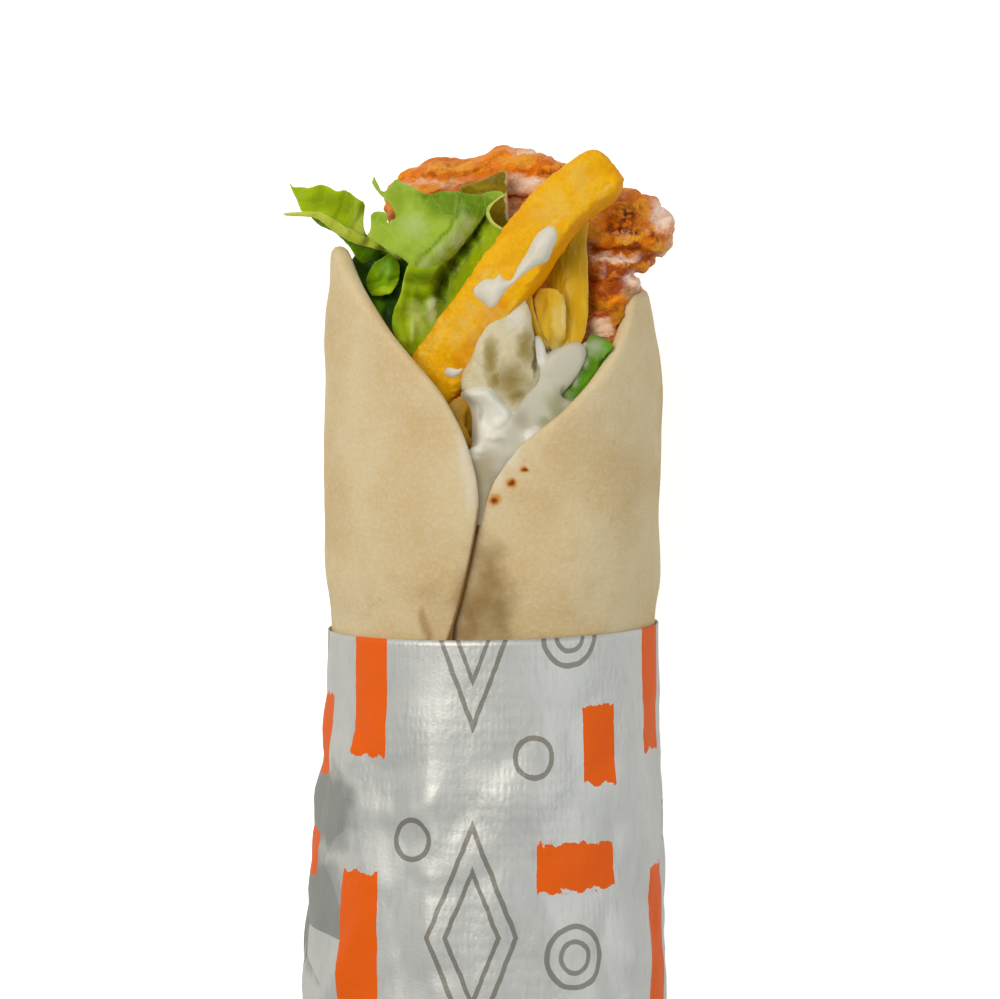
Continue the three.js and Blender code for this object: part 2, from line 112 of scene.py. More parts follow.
# %% Colours and nodes
def linear(colour):
    """An sRGB hex colour as linear red, green, blue and alpha."""
    shares = [int(colour[i:i + 2], 16) / 255 for i in (1, 3, 5)]
    return [s / 12.92 if s <= 0.04045 else ((s + 0.055) / 1.055) ** 2.4 for s in shares] + [1]


def add(tree, kind, inputs=None, **settings):
    """Adds a node: settings go on it, inputs on its sockets, and an input that is a socket is linked."""
    node = tree.nodes.new(kind)
    for name, value in settings.items():
        setattr(node, name, value)
    for key, value in (inputs or {}).items():
        if isinstance(value, bpy.types.NodeSocket):
            tree.links.new(value, node.inputs[key])
        else:
            node.inputs[key].default_value = value
    return node


def material(name, **constants):
    """A new material, its node tree, its shader, and the surface's own coordinates."""
    made = bpy.data.materials.new(name)
    made.use_nodes = True
    shader = made.node_tree.nodes["Principled BSDF"]
    for socket, value in constants.items():
        shader.inputs[socket.replace("_", " ")].default_value = value
    place = add(made.node_tree, "ShaderNodeTexCoord").outputs["Object"]
    return made, made.node_tree, shader, place


# %% Light and floor
FLOOR_SIZE = 6
FLOOR_GLOW = 0.6          # for the camera alone, so that the backdrop is white
SKY_STRENGTH = 0.42
world = bpy.data.worlds.new("studio")
world.use_nodes = True
world.node_tree.nodes["Background"].inputs["Color"].default_value = linear("#f4f6fa")
world.node_tree.nodes["Background"].inputs["Strength"].default_value = SKY_STRENGTH
scene.world = world

LIGHTS = {
    "key": {"at": (-330, 330, 620), "size": 420, "power": 3.0, "colour": "#fff6ea"},
    "fill": {"at": (480, 60, 420), "size": 500, "power": 0.7, "colour": "#fffdfa"},
}
for name, light in LIGHTS.items():
    aim = Vector(light["at"]) - Vector((0, 15, ROLL_AXIS_HEIGHT))
    bpy.ops.object.select_all(action="DESELECT")
    bpy.ops.object.light_add(type="AREA", location=roll(*light["at"]),
                             rotation=aim.to_track_quat("Z", "Y").to_euler())
    lamp = bpy.context.object
    lamp.name = name
    lamp.data.size = light["size"] * MM
    lamp.data.energy = light["power"]
    lamp.data.color = linear(light["colour"])[:3]

bpy.ops.object.select_all(action="DESELECT")
bpy.ops.mesh.primitive_plane_add(size=FLOOR_SIZE)
floor = bpy.context.object
floor.name = "floor"
floor_paint, floor_tree, floor_shader, _ = material("matt white backdrop paint", Roughness=0.9)
floor_shader.inputs["Base Color"].default_value = linear("#fbfbfa")
floor_shader.inputs["Emission Color"].default_value = (1, 1, 1, 1)
to_camera = add(floor_tree, "ShaderNodeLightPath").outputs["Is Camera Ray"]
glow = add(floor_tree, "ShaderNodeMath", {0: to_camera, 1: FLOOR_GLOW}, operation="MULTIPLY").outputs[0]
floor_tree.links.new(glow, floor_shader.inputs["Emission Strength"])
floor.data.materials.append(floor_paint)
print("lights:", ", ".join(LIGHTS))


# %% [markdown]
# ## Tools for soft, uneven pieces
# Food has few straight edges. Most pieces start as a copy of their solid. Its loose triangles are merged
# and paired into quads, modifiers make the mesh fine enough, and then every point is pushed along its
# normal by a height that depends on where it is, as a sculpting brush would do it.

# %% Tools
def select_only(piece):
    bpy.ops.object.select_all(action="DESELECT")
    piece.select_set(True)
    bpy.context.view_layer.objects.active = piece


def copy_of(node, name):
    """A copy of a CAD node with its triangles merged and paired into quads."""
    piece = bpy.data.objects.new(name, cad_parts[node].data.copy())
    scene.collection.objects.link(piece)
    select_only(piece)
    bpy.ops.mesh.customdata_custom_splitnormals_clear()
    bpy.ops.object.mode_set(mode="EDIT")
    bpy.ops.mesh.select_all(action="SELECT")
    bpy.ops.mesh.remove_doubles(threshold=0.01 * MM)
    bpy.ops.mesh.tris_convert_to_quads(face_threshold=math.radians(50), shape_threshold=math.radians(60))
    bpy.ops.object.mode_set(mode="OBJECT")
    bpy.ops.object.shade_smooth()
    return piece


def modify(piece, kind, **settings):
    """Adds one modifier and applies it."""
    select_only(piece)
    modifier = piece.modifiers.new(kind.lower(), kind)
    for name, value in settings.items():
        setattr(modifier, name, value)
    bpy.ops.object.modifier_apply(modifier=modifier.name)


def subdivide(piece, levels):
    modify(piece, "SUBSURF", levels=levels, render_levels=levels)


def remesh(piece, voxel, smoothing=4):
    """Turns a piece into one closed skin of small even quads, and takes the voxel steps out of it."""
    modify(piece, "REMESH", mode="VOXEL", voxel_size=voxel * MM)
    modify(piece, "SMOOTH", factor=0.5, iterations=smoothing)


def sculpt(piece, height):
    """Moves each point along its normal by height(point, normal), all in millimetres of the roll's frame."""
    moves = [height(in_roll(v.co), v.normal) * MM * v.normal for v in piece.data.vertices]
    for vertex, move in zip(piece.data.vertices, moves):
        vertex.co += move
    piece.data.update()


def lumpy(point, size, seed=0):
    """Smooth noise from about -1 to 1, with features of the given size."""
    return noise.noise(point / size + Vector((7.3, -3.1, 5.7)) * seed)


def smoothstep(value, start, end):
    t = min(max((value - start) / (end - start), 0), 1)
    return t * t * (3 - 2 * t)


def hand_over(piece, node, finish):
    """Gives a piece its finish, hides the solid that it stands for, and lets it move with the body."""
    piece.data.materials.clear()
    piece.data.materials.append(finish)
    select_only(piece)
    bpy.ops.object.shade_smooth()
    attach(piece, "root")
    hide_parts(node)
    print(piece.name, "stands for", node, "with", len(piece.data.polygons), "faces")


# %% [markdown]
# ## Tools for finishes
# A finish is layered as a painter would do it: a ground colour, then coats that show only where a mask lets
# them. A mask is either mottling, which is noise cut between two levels, or a few placed patches with a
# wobbly rim.

# %% Finish tools
def per(size):
    """The scale of a pattern whose features are that many millimetres across."""
    return 1 / (size * MM)


def mottling(tree, place, size, start, end, detail=3, stretch=(1, 1, 1)):
    """A mask from noise: 0 below the start level, 1 above the end level."""
    drawn = add(tree, "ShaderNodeMapping", {"Vector": place, "Scale": stretch}).outputs[0]
    cloud = add(tree, "ShaderNodeTexNoise", {"Vector": drawn, "Scale": per(size),
                                             "Detail": detail}).outputs[0]
    return add(tree, "ShaderNodeMapRange", {0: cloud, 1: start, 2: end},
               interpolation_type="SMOOTHSTEP").outputs[0]


def wobble(tree, place, size, reach):
    """The surface's coordinates, shifted by about the reach, so that rims drawn on them wander."""
    cloud = add(tree, "ShaderNodeTexNoise", {"Vector": place, "Scale": per(size),
                                             "Detail": 3}).outputs["Color"]
    centred = add(tree, "ShaderNodeVectorMath", {0: cloud, 1: (0.5, 0.5, 0.5)},
                  operation="SUBTRACT").outputs[0]
    moved = add(tree, "ShaderNodeVectorMath", {0: centred, "Scale": 4 * reach * MM},
                operation="SCALE").outputs[0]
    return add(tree, "ShaderNodeVectorMath", {0: place, 1: moved}, operation="ADD").outputs[0]


def patches(tree, place, places, rim=0.4):
    """A mask that is 1 in each place, given as a centre and half sizes, and fades across its rim."""
    mask = None
    for centre, half in places:
        away = add(tree, "ShaderNodeVectorMath", {0: place, 1: roll(*centre)},
                   operation="SUBTRACT").outputs[0]
        shares = add(tree, "ShaderNodeVectorMath", {0: away, 1: [per(h) for h in half]},
                     operation="MULTIPLY").outputs[0]
        reach = add(tree, "ShaderNodeVectorMath", {0: shares}, operation="LENGTH").outputs["Value"]
        inside = add(tree, "ShaderNodeMapRange", {0: reach, 1: 1 + rim, 2: 1 - rim},
                     interpolation_type="SMOOTHSTEP").outputs[0]
        mask = inside if mask is None else add(
            tree, "ShaderNodeMath", {0: mask, 1: inside}, operation="MAXIMUM").outputs[0]
    return mask


def times(tree, mask, other):
    """Two masks, or a mask and a share, as one."""
    return add(tree, "ShaderNodeMath", {0: mask, 1: other}, operation="MULTIPLY").outputs[0]


def coats(tree, ground, *layers):
    """A ground colour with coats over it, each a mask and a colour."""
    colour = add(tree, "ShaderNodeRGB").outputs[0]
    colour.default_value = linear(ground)
    for mask, coat in layers:
        colour = add(tree, "ShaderNodeMix", {0: mask, 6: colour, 7: linear(coat)},
                     data_type="RGBA").outputs[2]
    return colour


def relief(tree, shader, *heights):
    """Fine relief from masks, each with its depth in millimetres."""
    normal = None
    for mask, depth in heights:
        below = {"Normal": normal} if normal else {}
        bump = add(tree, "ShaderNodeBump", {"Height": mask, "Distance": depth * MM, "Strength": 1, **below})
        normal = bump.outputs[0]
    tree.links.new(normal, shader.inputs["Normal"])


# %% [markdown]
# ## Flatbread
# Soft wheat flatbread is rolled out thin, blown up for a moment on a hot griddle, and folded while it is
# warm. It is pale and floury, with tan clouds where it touched the griddle, a few toasted spots, and soft
# rounded edges. The solid has the roll, the V and the overlap already. Its sharp edges are creased a
# little, so that subdividing leaves a blunt rim and not a thin one. Then the flap that lies on top is
# pressed down along the seam, and soft swells are pushed in.

# %% Flatbread
TUCK_LINE = ((-10.9, 6.4), (-10.4, 3.3), (-9.4, -1.0))
SEAM_LINE = ((-2.1, 21.1), (-2.7, 17.1), (-4.0, 10.7), (-5.6, 5.1), (-6.9, 0.3), (-8.3, -5.0))
ROLL_HALF_DEPTH = 27.3
FLAP_MIDDLE = 2.45      # deeper than this below the roll's skin lies the lower flap
RIM_CREASE = 0.25


def off_line(x, y, line):
    """How far a point lies right of a line of points that runs along Y, and how far past its ends."""
    (x0, y0), (x1, y1) = line[0], line[-1]
    for (xa, ya), (xb, yb) in zip(line, line[1:]):
        if min(ya, yb) <= y <= max(ya, yb):
            return x - xa - (xb - xa) * (y - ya) / (yb - ya), 0
    beyond = y - max(y0, y1) if y > max(y0, y1) else min(y0, y1) - y
    return x - (x0 if abs(y - y0) < abs(y - y1) else x1), beyond


def pressed_flap(point):
    """How far the upper flap goes down onto the lower one, near the seam."""
    side, beyond = off_line(point.x, point.y, SEAM_LINE)
    depth = (1 - math.hypot(point.x / ROLL_HALF_WIDTH,
                            (point.z - ROLL_AXIS_HEIGHT) / ROLL_HALF_DEPTH)) * ROLL_HALF_DEPTH
    if point.z < 40 or side > 1.5 or depth > FLAP_MIDDLE:
        return 0
    return 0.6 * smoothstep(side, -6, -0.4) * (1 - smoothstep(beyond, 0, 6))


def bread_height(point, normal):
    bare = smoothstep(point.y, -4, 4)
    height = bare * (0.30 * lumpy(point, 11, 1) + 0.12 * lumpy(point, 4.2, 2))
    height += 0.35 * smoothstep(point.y, 40, 54)
    if point.z > 40 and normal.z > 0:
        side, beyond = off_line(point.x, point.y, TUCK_LINE)
        fade = 1 - smoothstep(beyond, 0, 2.5)
        height -= fade * 1.0 * math.exp(-(side / 0.8) ** 2)
        height -= fade * 0.5 * smoothstep(side, 0, 1.2) * (1 - smoothstep(side, 2.5, 4.5))
    return height


flatbread = copy_of("flatbread", "flatbread_skin")
bpy.ops.object.mode_set(mode="EDIT")
bpy.ops.mesh.select_mode(type="EDGE")
bpy.ops.mesh.select_all(action="DESELECT")
bpy.ops.mesh.edges_select_sharp(sharpness=math.radians(50))
bpy.ops.transform.edge_crease(value=RIM_CREASE)
bpy.ops.object.mode_set(mode="OBJECT")
subdivide(flatbread, 2)
for vertex in flatbread.data.vertices:
    vertex.co.z -= pressed_flap(in_roll(vertex.co)) * MM
sculpt(flatbread, bread_height)

# %% [markdown]
# Griddled flatbread is matt: flour and dry crust scatter the light, so it has no highlight, only a soft
# grain. The tan clouds are about 15 mm across and weak. Three toasted spots lie on the right flap below the
# V, and the left inner rim is stained by oil from the filling. The seam's brown line is partly the edge's
# browning and partly painted shade of the gap between the flaps, and painted shade lies on the right flap
# beside the seam and along the small tuck. The griddle's own spots are kept low on the sides and underneath.

# %% Griddled flatbread
TOAST = (((0.3, 22.3, 50.5), (0.60, 0.55, 3)), ((3.0, 25.1, 50.5), (0.5, 0.45, 3)),
         ((5.1, 27.3, 50), (0.5, 0.25, 3)))
TOAST_HALO = (((0.4, 22.4, 50.5), (1.1, 1.1, 4)), ((3.0, 25.1, 50.5), (0.95, 0.9, 4)),
              ((5.1, 27.3, 50), (0.75, 0.5, 4)))
OIL = (((-21.2, 58.4, 41), (0.9, 2.2, 3)), ((-19.2, 53.3, 43), (0.35, 0.5, 3)))
TAN = (((-12.5, 22, 47), (5, 14, 8)), ((7.5, 16, 49), (5, 9, 8)), ((-16, 44, 44), (4, 8, 8)))
TUCK_AT = ((-11.4, 3.4), (-11.1, 2.4), (-10.7, 1.4), (-10.3, 0.4))
SMEAR = (
    ((3.0, 30.0, 49.5), (1.2, 2.2, 4)), ((0.8, 26.4, 50), (0.8, 2.0, 4)), ((-3.6, 25.0, 51), (0.9, 3.6, 4)),
    ((-4.6, 30.0, 51), (0.9, 3.6, 4)))
SEAM_SHADE = (((-0.6, 9.4, 50), (2.6, 5.0, 6)), ((-1.6, 6.0, 50), (3.6, 5.0, 6)),
              ((0.6, 4.6, 50), (3.0, 4.6, 6)), ((-3.4, 3.4, 50), (2.4, 4.6, 6)))
SEAM_CURVE = (-6.9, 0.327, -0.0046)     # the seam's X, its slope and its bend, along Y

bread_finish, tree, shader, place = material("griddled wheat flatbread", Roughness=0.85, IOR=1.4,
                                             Specular_IOR_Level=0.2)
shader.inputs["Subsurface Weight"].default_value = 0.12
shader.inputs["Subsurface Radius"].default_value = (1.0, 0.6, 0.3)
shader.inputs["Subsurface Scale"].default_value = 1.5 * MM
wandering = wobble(tree, place, 1.4, 0.2)
clouds = mottling(tree, place, 15, 0.40, 0.66, detail=4)
small_clouds = mottling(tree, place, 4.5, 0.45, 0.75, detail=4)
flour = mottling(tree, place, 0.7, 0.40, 0.66, detail=5)
flecks = mottling(tree, place, 1.3, 0.66, 0.74, detail=3)

# The seam bends a little, so its X is worked out from Y. A mask keeps it off the roll's other side.
seen_from_foot = add(tree, "ShaderNodeVectorMath", {0: place, 1: roll(0, 0.3, 0)},
                     operation="SUBTRACT").outputs[0]
seen_in_mm = add(tree, "ShaderNodeVectorMath", {0: seen_from_foot, "Scale": per(1)},
                 operation="SCALE").outputs[0]
seam_u, seam_v, _ = add(tree, "ShaderNodeSeparateXYZ", {0: seen_in_mm}).outputs
bend = add(tree, "ShaderNodeMath", {0: seam_v, 1: SEAM_CURVE[2], 2: SEAM_CURVE[1]},
           operation="MULTIPLY_ADD").outputs[0]
seam_at = add(tree, "ShaderNodeMath", {0: bend, 1: seam_v, 2: SEAM_CURVE[0]},
              operation="MULTIPLY_ADD").outputs[0]
off_seam = add(tree, "ShaderNodeMath", {0: seam_u, 1: seam_at}, operation="SUBTRACT").outputs[0]
from_seam = add(tree, "ShaderNodeMath", {0: off_seam}, operation="ABSOLUTE").outputs[0]
near_seam = patches(tree, place, (((-4.4, 8, 50), (9, 14, 8)),), rim=0.1)
# The seam's brown line is partly the edge's browning and partly painted shade of the gap between the flaps.
seam_line = add(tree, "ShaderNodeMapRange", {0: from_seam, 1: 0.7, 2: 0.1},
                interpolation_type="SMOOTHSTEP").outputs[0]
seam_shade = patches(tree, wobble(tree, place, 4, 1.4), SEAM_SHADE, rim=0.95)
tuck_shade = patches(tree, place, [((x, y, 49), (0.55, 1.3, 5)) for x, y in TUCK_AT], rim=0.9)
low_down = add(tree, "ShaderNodeMapRange", {0: add(tree, "ShaderNodeSeparateXYZ", {0: place}).outputs["Z"],
                                            1: roll(0, 0, 30).z, 2: roll(0, 0, 12).z}).outputs[0]
griddle = times(tree, mottling(tree, place, 9, 0.62, 0.72, detail=5), low_down)
ground = coats(
    tree, "#dfcda3",
    (times(tree, patches(tree, place, TAN, rim=0.9), 0.35), "#c9a668"),
    (times(tree, clouds, 0.50), "#cbab70"),
    (times(tree, small_clouds, 0.25), "#d4b378"),
    (times(tree, flour, 0.16), "#f2e7cb"),
    (times(tree, flecks, 0.20), "#b8904f"),
    (times(tree, seam_shade, 0.85), "#90713a"),
    (times(tree, tuck_shade, 0.60), "#9a6f45"),
    (times(tree, times(tree, near_seam, seam_line), 0.85), "#8f6122"),
    (times(tree, patches(tree, wandering, OIL, rim=0.7), 0.65), "#dfae45"),
    (times(tree, patches(tree, wandering, SMEAR, rim=0.8), 0.5), "#eae4d2"),
    (times(tree, griddle, 0.6), "#a9713a"),
    (times(tree, patches(tree, wandering, TOAST_HALO, rim=0.35), 0.85), "#d68f28"),
    (times(tree, patches(tree, wandering, TOAST, rim=0.6), 0.95), "#6f2a06"))
tree.links.new(ground, shader.inputs["Base Color"])
relief(tree, shader, (flour, 0.035), (small_clouds, 0.10))
hand_over(flatbread, "flatbread", bread_finish)

# %% [markdown]
# ## Sleeve
# The sleeve is a paper bag faced with a thin foil, pressed with small dashes so that it drapes. It is
# smooth at its cut edge, where the roll fills it, and creased further down. The copy loses the solid's
# inner wall, because real paper is thinner than the solid. The outer wall is subdivided, given the flat
# planes of crumpled foil with a cell noise, and a few placed folds, and then gets a thin wall again.

# %% Sleeve
PAPER_THICKNESS = 0.18
SLEEVE_RADIUS = 29
FACET = 11                  # crumpled foil falls into flat planes of about this size
FOLDS = (
    # Where a fold runs, in X and Y of the front, how far it stands out, and how wide its flank is.
    (((-8.5, -3), (-9.5, -14), (-10.5, -24), (-8.6, -31), (-10.5, -40), (-9, -62)), 0.65, 5.0),
    (((-23.8, -20), (-22.6, -28), (-20.2, -41), (-22.6, -50), (-27, -60)), 1.1, 4.5),
    (((-8.8, -25), (-12.4, -28.5), (-8.4, -32), (-13, -36), (-9.5, -39)), 0.45, 1.5),
    (((-21, -27.5), (-16, -29), (-13.5, -28)), 0.35, 1.6),
    (((7.5, -4), (8.5, -30), (10, -60)), 0.5, 4.0),
    (((22, -6), (23.5, -30), (22, -60)), 0.7, 4.0),
)


def outer_side(face):
    """True where a face of the cup points away from the roll's axis."""
    centre = in_roll(face.center)
    inside = Vector((0, min(max(centre.y, -85), -12), ROLL_AXIS_HEIGHT))
    return face.normal.dot(centre - inside) > 0 and not (centre.y > -3 and face.normal.y > 0.8)


def nearest(x, y, line):
    """How far a point of the front lies from a line of points."""
    here = Vector((x, y))
    best = 1e9
    for a, b in zip(line, line[1:]):
        a, b = Vector(a), Vector(b)
        share = min(max((here - a).dot(b - a) / (b - a).length_squared, 0), 1)
        best = min(best, (here - a.lerp(b, share)).length)
    return best


def crease_height(point, normal):
    slack = smoothstep(-point.y, 2, 18) * smoothstep(point.z, 1.5, 9)
    long_way = Vector((point.x / 13, point.y / 22, point.z / 13))
    height = 0.8 * abs(noise.noise(long_way)) - 0.25
    near, second = noise.voronoi(point / FACET)[0][:2]
    height += 0.9 * (second - near) - 0.2
    height += 0.10 * abs(lumpy(point, 2.6, 4))
    if point.z > ROLL_AXIS_HEIGHT:
        for line, rise, flank in FOLDS:
            height += rise * max(0, 1 - nearest(point.x, point.y, line) / flank)
    return slack * height


sleeve = copy_of("sleeve", "sleeve_paper")
bpy.ops.object.mode_set(mode="EDIT")
bpy.ops.mesh.select_mode(type="FACE")
bpy.ops.mesh.select_all(action="DESELECT")
bpy.ops.object.mode_set(mode="OBJECT")
for face in sleeve.data.polygons:
    face.select = not outer_side(face)
bpy.ops.object.mode_set(mode="EDIT")
bpy.ops.mesh.delete(type="FACE")
bpy.ops.object.mode_set(mode="OBJECT")
subdivide(sleeve, 3)


# %% [markdown]
# The paper was printed and pressed flat, before it was rolled. So its pattern is drawn on a UV map that
# unrolls the sleeve: U is the way round it from the middle of the front, V the way along it, both in
# metres. The map is made before the creases, and the strip underneath, where both ends meet, takes each
# face's side from its middle.

# %% Unrolled map
def unrolled(place, side):
    point = in_roll(place)
    angle = math.atan2(point.x, point.z - ROLL_AXIS_HEIGHT)
    if side and angle * side < -math.pi / 2:
        angle += 2 * math.pi * side
    return angle * SLEEVE_RADIUS * MM, point.y * MM


for layer in list(sleeve.data.uv_layers):
    sleeve.data.uv_layers.remove(layer)
paper_map = sleeve.data.uv_layers.new(name="unrolled")
for face in sleeve.data.polygons:
    middle = in_roll(face.center)
    side = math.copysign(1, middle.x) if middle.z < ROLL_AXIS_HEIGHT else 0
    for loop in face.loop_indices:
        corner = sleeve.data.vertices[sleeve.data.loops[loop].vertex_index]
        paper_map.data[loop].uv = unrolled(corner.co, side)
sculpt(sleeve, crease_height)
modify(sleeve, "SOLIDIFY", thickness=PAPER_THICKNESS * MM, offset=-1)
print("sleeve's creases made on", len(sleeve.data.vertices), "points")

# %% [markdown]
# Foil-faced paper is satin: the foil mirrors softly, because the pressing and the paper's own fibres break
# it up. The print is plain: orange bars with rough ends, as from a dry brush, and outlined grey shapes.
# Both repeat round the sleeve, as print on a roll of paper does. Each facet of the crumpled foil gets its
# own painted shading, and facets on the left flank are painted dark, as painted shade and dark reflection
# where the foil turns away from the light.

# %% Foil-faced paper
FOIL_METALLIC = 0.66        # the foil is thin, and paper shows through it
REPEAT = (60, 52)           # the print's repeat, round the sleeve and along it
BARS = (((-24, -3), (4.0, 16.5)), ((15, 15), (7.6, 3.8)), ((20, -17.5), (3.4, 6.5)))
DIAMONDS = (((-3.5, 4), (7.4, 18), 0.45), ((-3.5, 4), (4.4, 10.7), 0.4))
RINGS = (((14, 0.5), 5.0, 0.45), ((14, 0.5), 2.6, 0.4), ((-14, 19.5), 3.2, 0.42), ((7, -19), 3.2, 0.42))
# Where the left flank's facets get painted shade and dark reflection.
CRUSHED = (((-30, -29, 36), (8.5, 7, 16)), ((-31, -46, 36), (8.5, 10, 16)))

paper_finish, tree, shader, place = material("printed foil-faced paper", Roughness=0.50,
                                             Metallic=FOIL_METALLIC, Specular_IOR_Level=0.15)
flat = add(tree, "ShaderNodeUVMap", uv_map="unrolled").outputs[0]


def repeated(where):
    """U and V of the unrolled paper, each wrapped to one repeat of the print."""
    ways = add(tree, "ShaderNodeSeparateXYZ", {0: where}).outputs
    return [add(tree, "ShaderNodeMath", {0: way, 1: -size / 2 * MM, 2: size / 2 * MM},
                operation="WRAP").outputs[0]
            for way, size in zip(ways, REPEAT)]


def away_from(pattern, centre, half):
    """How far a point is from a motif's centre, across and along, as shares of its half sizes."""
    shares = []
    for way, at, size in zip(pattern, centre, half):
        off = add(tree, "ShaderNodeMath", {0: way, 1: at * MM}, operation="SUBTRACT").outputs[0]
        length = add(tree, "ShaderNodeMath", {0: off}, operation="ABSOLUTE").outputs[0]
        shares.append(add(tree, "ShaderNodeMath", {0: length, 1: per(size)},
                          operation="MULTIPLY").outputs[0])
    return shares


def either(masks):
    whole = masks[0]
    for mask in masks[1:]:
        whole = add(tree, "ShaderNodeMath", {0: whole, 1: mask}, operation="MAXIMUM").outputs[0]
    return whole


# A brush's dry ends are torn along the stroke, so the bars are shifted far more along V than along U.
torn = wobble(tree, flat, 1.5, 0.9)
drawn = wobble(tree, flat, 3.0, 0.15)
torn_v = add(tree, "ShaderNodeSeparateXYZ", {0: torn}).outputs["Y"]
drawn_u = add(tree, "ShaderNodeSeparateXYZ", {0: drawn}).outputs["X"]
brushed = repeated(add(tree, "ShaderNodeCombineXYZ", {0: drawn_u, 1: torn_v}).outputs[0])
outlined = repeated(drawn)
orange_bars = []
for centre, half in BARS:
    reach = either(away_from(brushed, centre, half))
    orange_bars.append(add(tree, "ShaderNodeMath", {0: reach, 1: 1}, operation="LESS_THAN").outputs[0])
grey_lines = []
for centre, half, line in DIAMONDS:
    reach = add(tree, "ShaderNodeMath", dict(enumerate(away_from(outlined, centre, half))),
                operation="ADD").outputs[0]
    grey_lines.append(add(tree, "ShaderNodeMath", {0: reach, 1: 1, 2: line / half[0]},
                          operation="COMPARE").outputs[0])
for centre, radius, line in RINGS:
    squares = [times(tree, share, share) for share in away_from(outlined, centre, (radius, radius))]
    reach = add(tree, "ShaderNodeMath", dict(enumerate(squares)), operation="ADD").outputs[0]
    grey_lines.append(add(tree, "ShaderNodeMath", {0: reach, 1: 1, 2: 2 * line / radius},
                          operation="COMPARE").outputs[0])

PRESSING = (1.0, 2.0)
dashes = add(tree, "ShaderNodeMapping",
             {"Vector": flat, "Scale": (per(PRESSING[0]), per(PRESSING[1]), 1)}).outputs[0]
cells = add(tree, "ShaderNodeTexVoronoi", {"Vector": dashes, "Scale": 1, "Randomness": 0.5},
            feature="SMOOTH_F1", voronoi_dimensions="2D").outputs["Distance"]
pressed = times(tree, cells, mottling(tree, place, 16, 0.40, 0.62))
fibres = mottling(tree, place, 0.5, 0.3, 0.7)
# Painted shading that differs from facet to facet, as the crumpled foil's planes catch more or less light.
planes = add(tree, "ShaderNodeTexVoronoi", {"Vector": flat, "Scale": per(FACET)},
             voronoi_dimensions="2D").outputs["Color"]
turned_away = add(tree, "ShaderNodeMapRange", {0: planes, 1: 0.28, 2: 0.38}).outputs[0]
# Painted shade and dark reflection: facets on the left flank are darkened where the foil turns away.
dulled = times(tree, patches(tree, wobble(tree, place, 5, 2.0), CRUSHED, rim=0.25), turned_away)
ink = either(orange_bars)
foil = coats(tree, "#d9dbd7",
             (times(tree, mottling(tree, place, 9, 0.4, 0.7), 0.30), "#c3c6c3"),
             (times(tree, planes, 0.15), "#b2b6b2"),
             (times(tree, dulled, 0.70), "#7d827c"),
             (times(tree, mottling(tree, flat, 0.9, 0.52, 0.66, stretch=(1, 0.2, 1)), 0.12), "#9b9f9b"),
             (times(tree, either(grey_lines), 0.9), "#8b887e"),
             (ink, "#f2650a"))
tree.links.new(foil, shader.inputs["Base Color"])
bare_foil = add(tree, "ShaderNodeMapRange", {0: ink, 3: FOIL_METALLIC, 4: 0.0}).outputs[0]
tree.links.new(bare_foil, shader.inputs["Metallic"])
relief(tree, shader, (pressed, 0.11), (fibres, 0.012))
hand_over(sleeve, "sleeve", paper_finish)

# %% [markdown]
# ## Fry
# A thick-cut potato fry has flat sides, a crust of tiny blisters, and a colour that runs from pale potato
# on the cut face to orange where the fat browned its edges. Its solid has the sauce fused to it, so the fry
# is made bare here: a sphere is drawn out into a rounded bar along nearly the solid's path, remeshed, and
# its crust roughened. The sauce follows as a piece of its own.

# %% Fry
FRY_PATH = ((-15.1, 33.7, 34), (-9.2, 41.3, 38.4), (-3, 50.5, 41.4), (3.4, 59.3, 42.4), (10.4, 68.9, 42),
            (16.7, 73.8, 40.8))
FRY_HALF = (5.9, 4.6)
FRY_SQUARE = 5
FRY_TURN = math.radians(-14)
FRY_DOMES = (2.4, 3.6)      # how far its near and its far end swell
FRY_BLUNT = 0.55            # 1 is a round end, less is a squarer one
FRY_WIDEST, FRY_NARROWING = 0.9, 0.17
FRY_VOXEL = 0.28


def along_curve(points, share):
    """A point of the smooth curve through the points, and the way that it runs there."""
    spans = len(points) - 1
    i = min(int(share * spans), spans - 1)
    t = share * spans - i
    near = [Vector(points[min(max(j, 0), spans)]) for j in range(i - 1, i + 3)]
    if i == 0:
        near[0] = 2 * near[1] - near[2]
    if i == spans - 1:
        near[3] = 2 * near[2] - near[1]
    a, b, c, d = near
    at = 0.5 * (2 * b + (c - a) * t + (2 * a - 5 * b + 4 * c - d) * t ** 2
                + (3 * b - a - 3 * c + d) * t ** 3)
    way = 0.5 * ((c - a) + 2 * (2 * a - 5 * b + 4 * c - d) * t + 3 * (3 * b - a - 3 * c + d) * t ** 2)
    return at, way.normalized()


def squared(share):
    return math.copysign(abs(share) ** (2 / FRY_SQUARE), share)


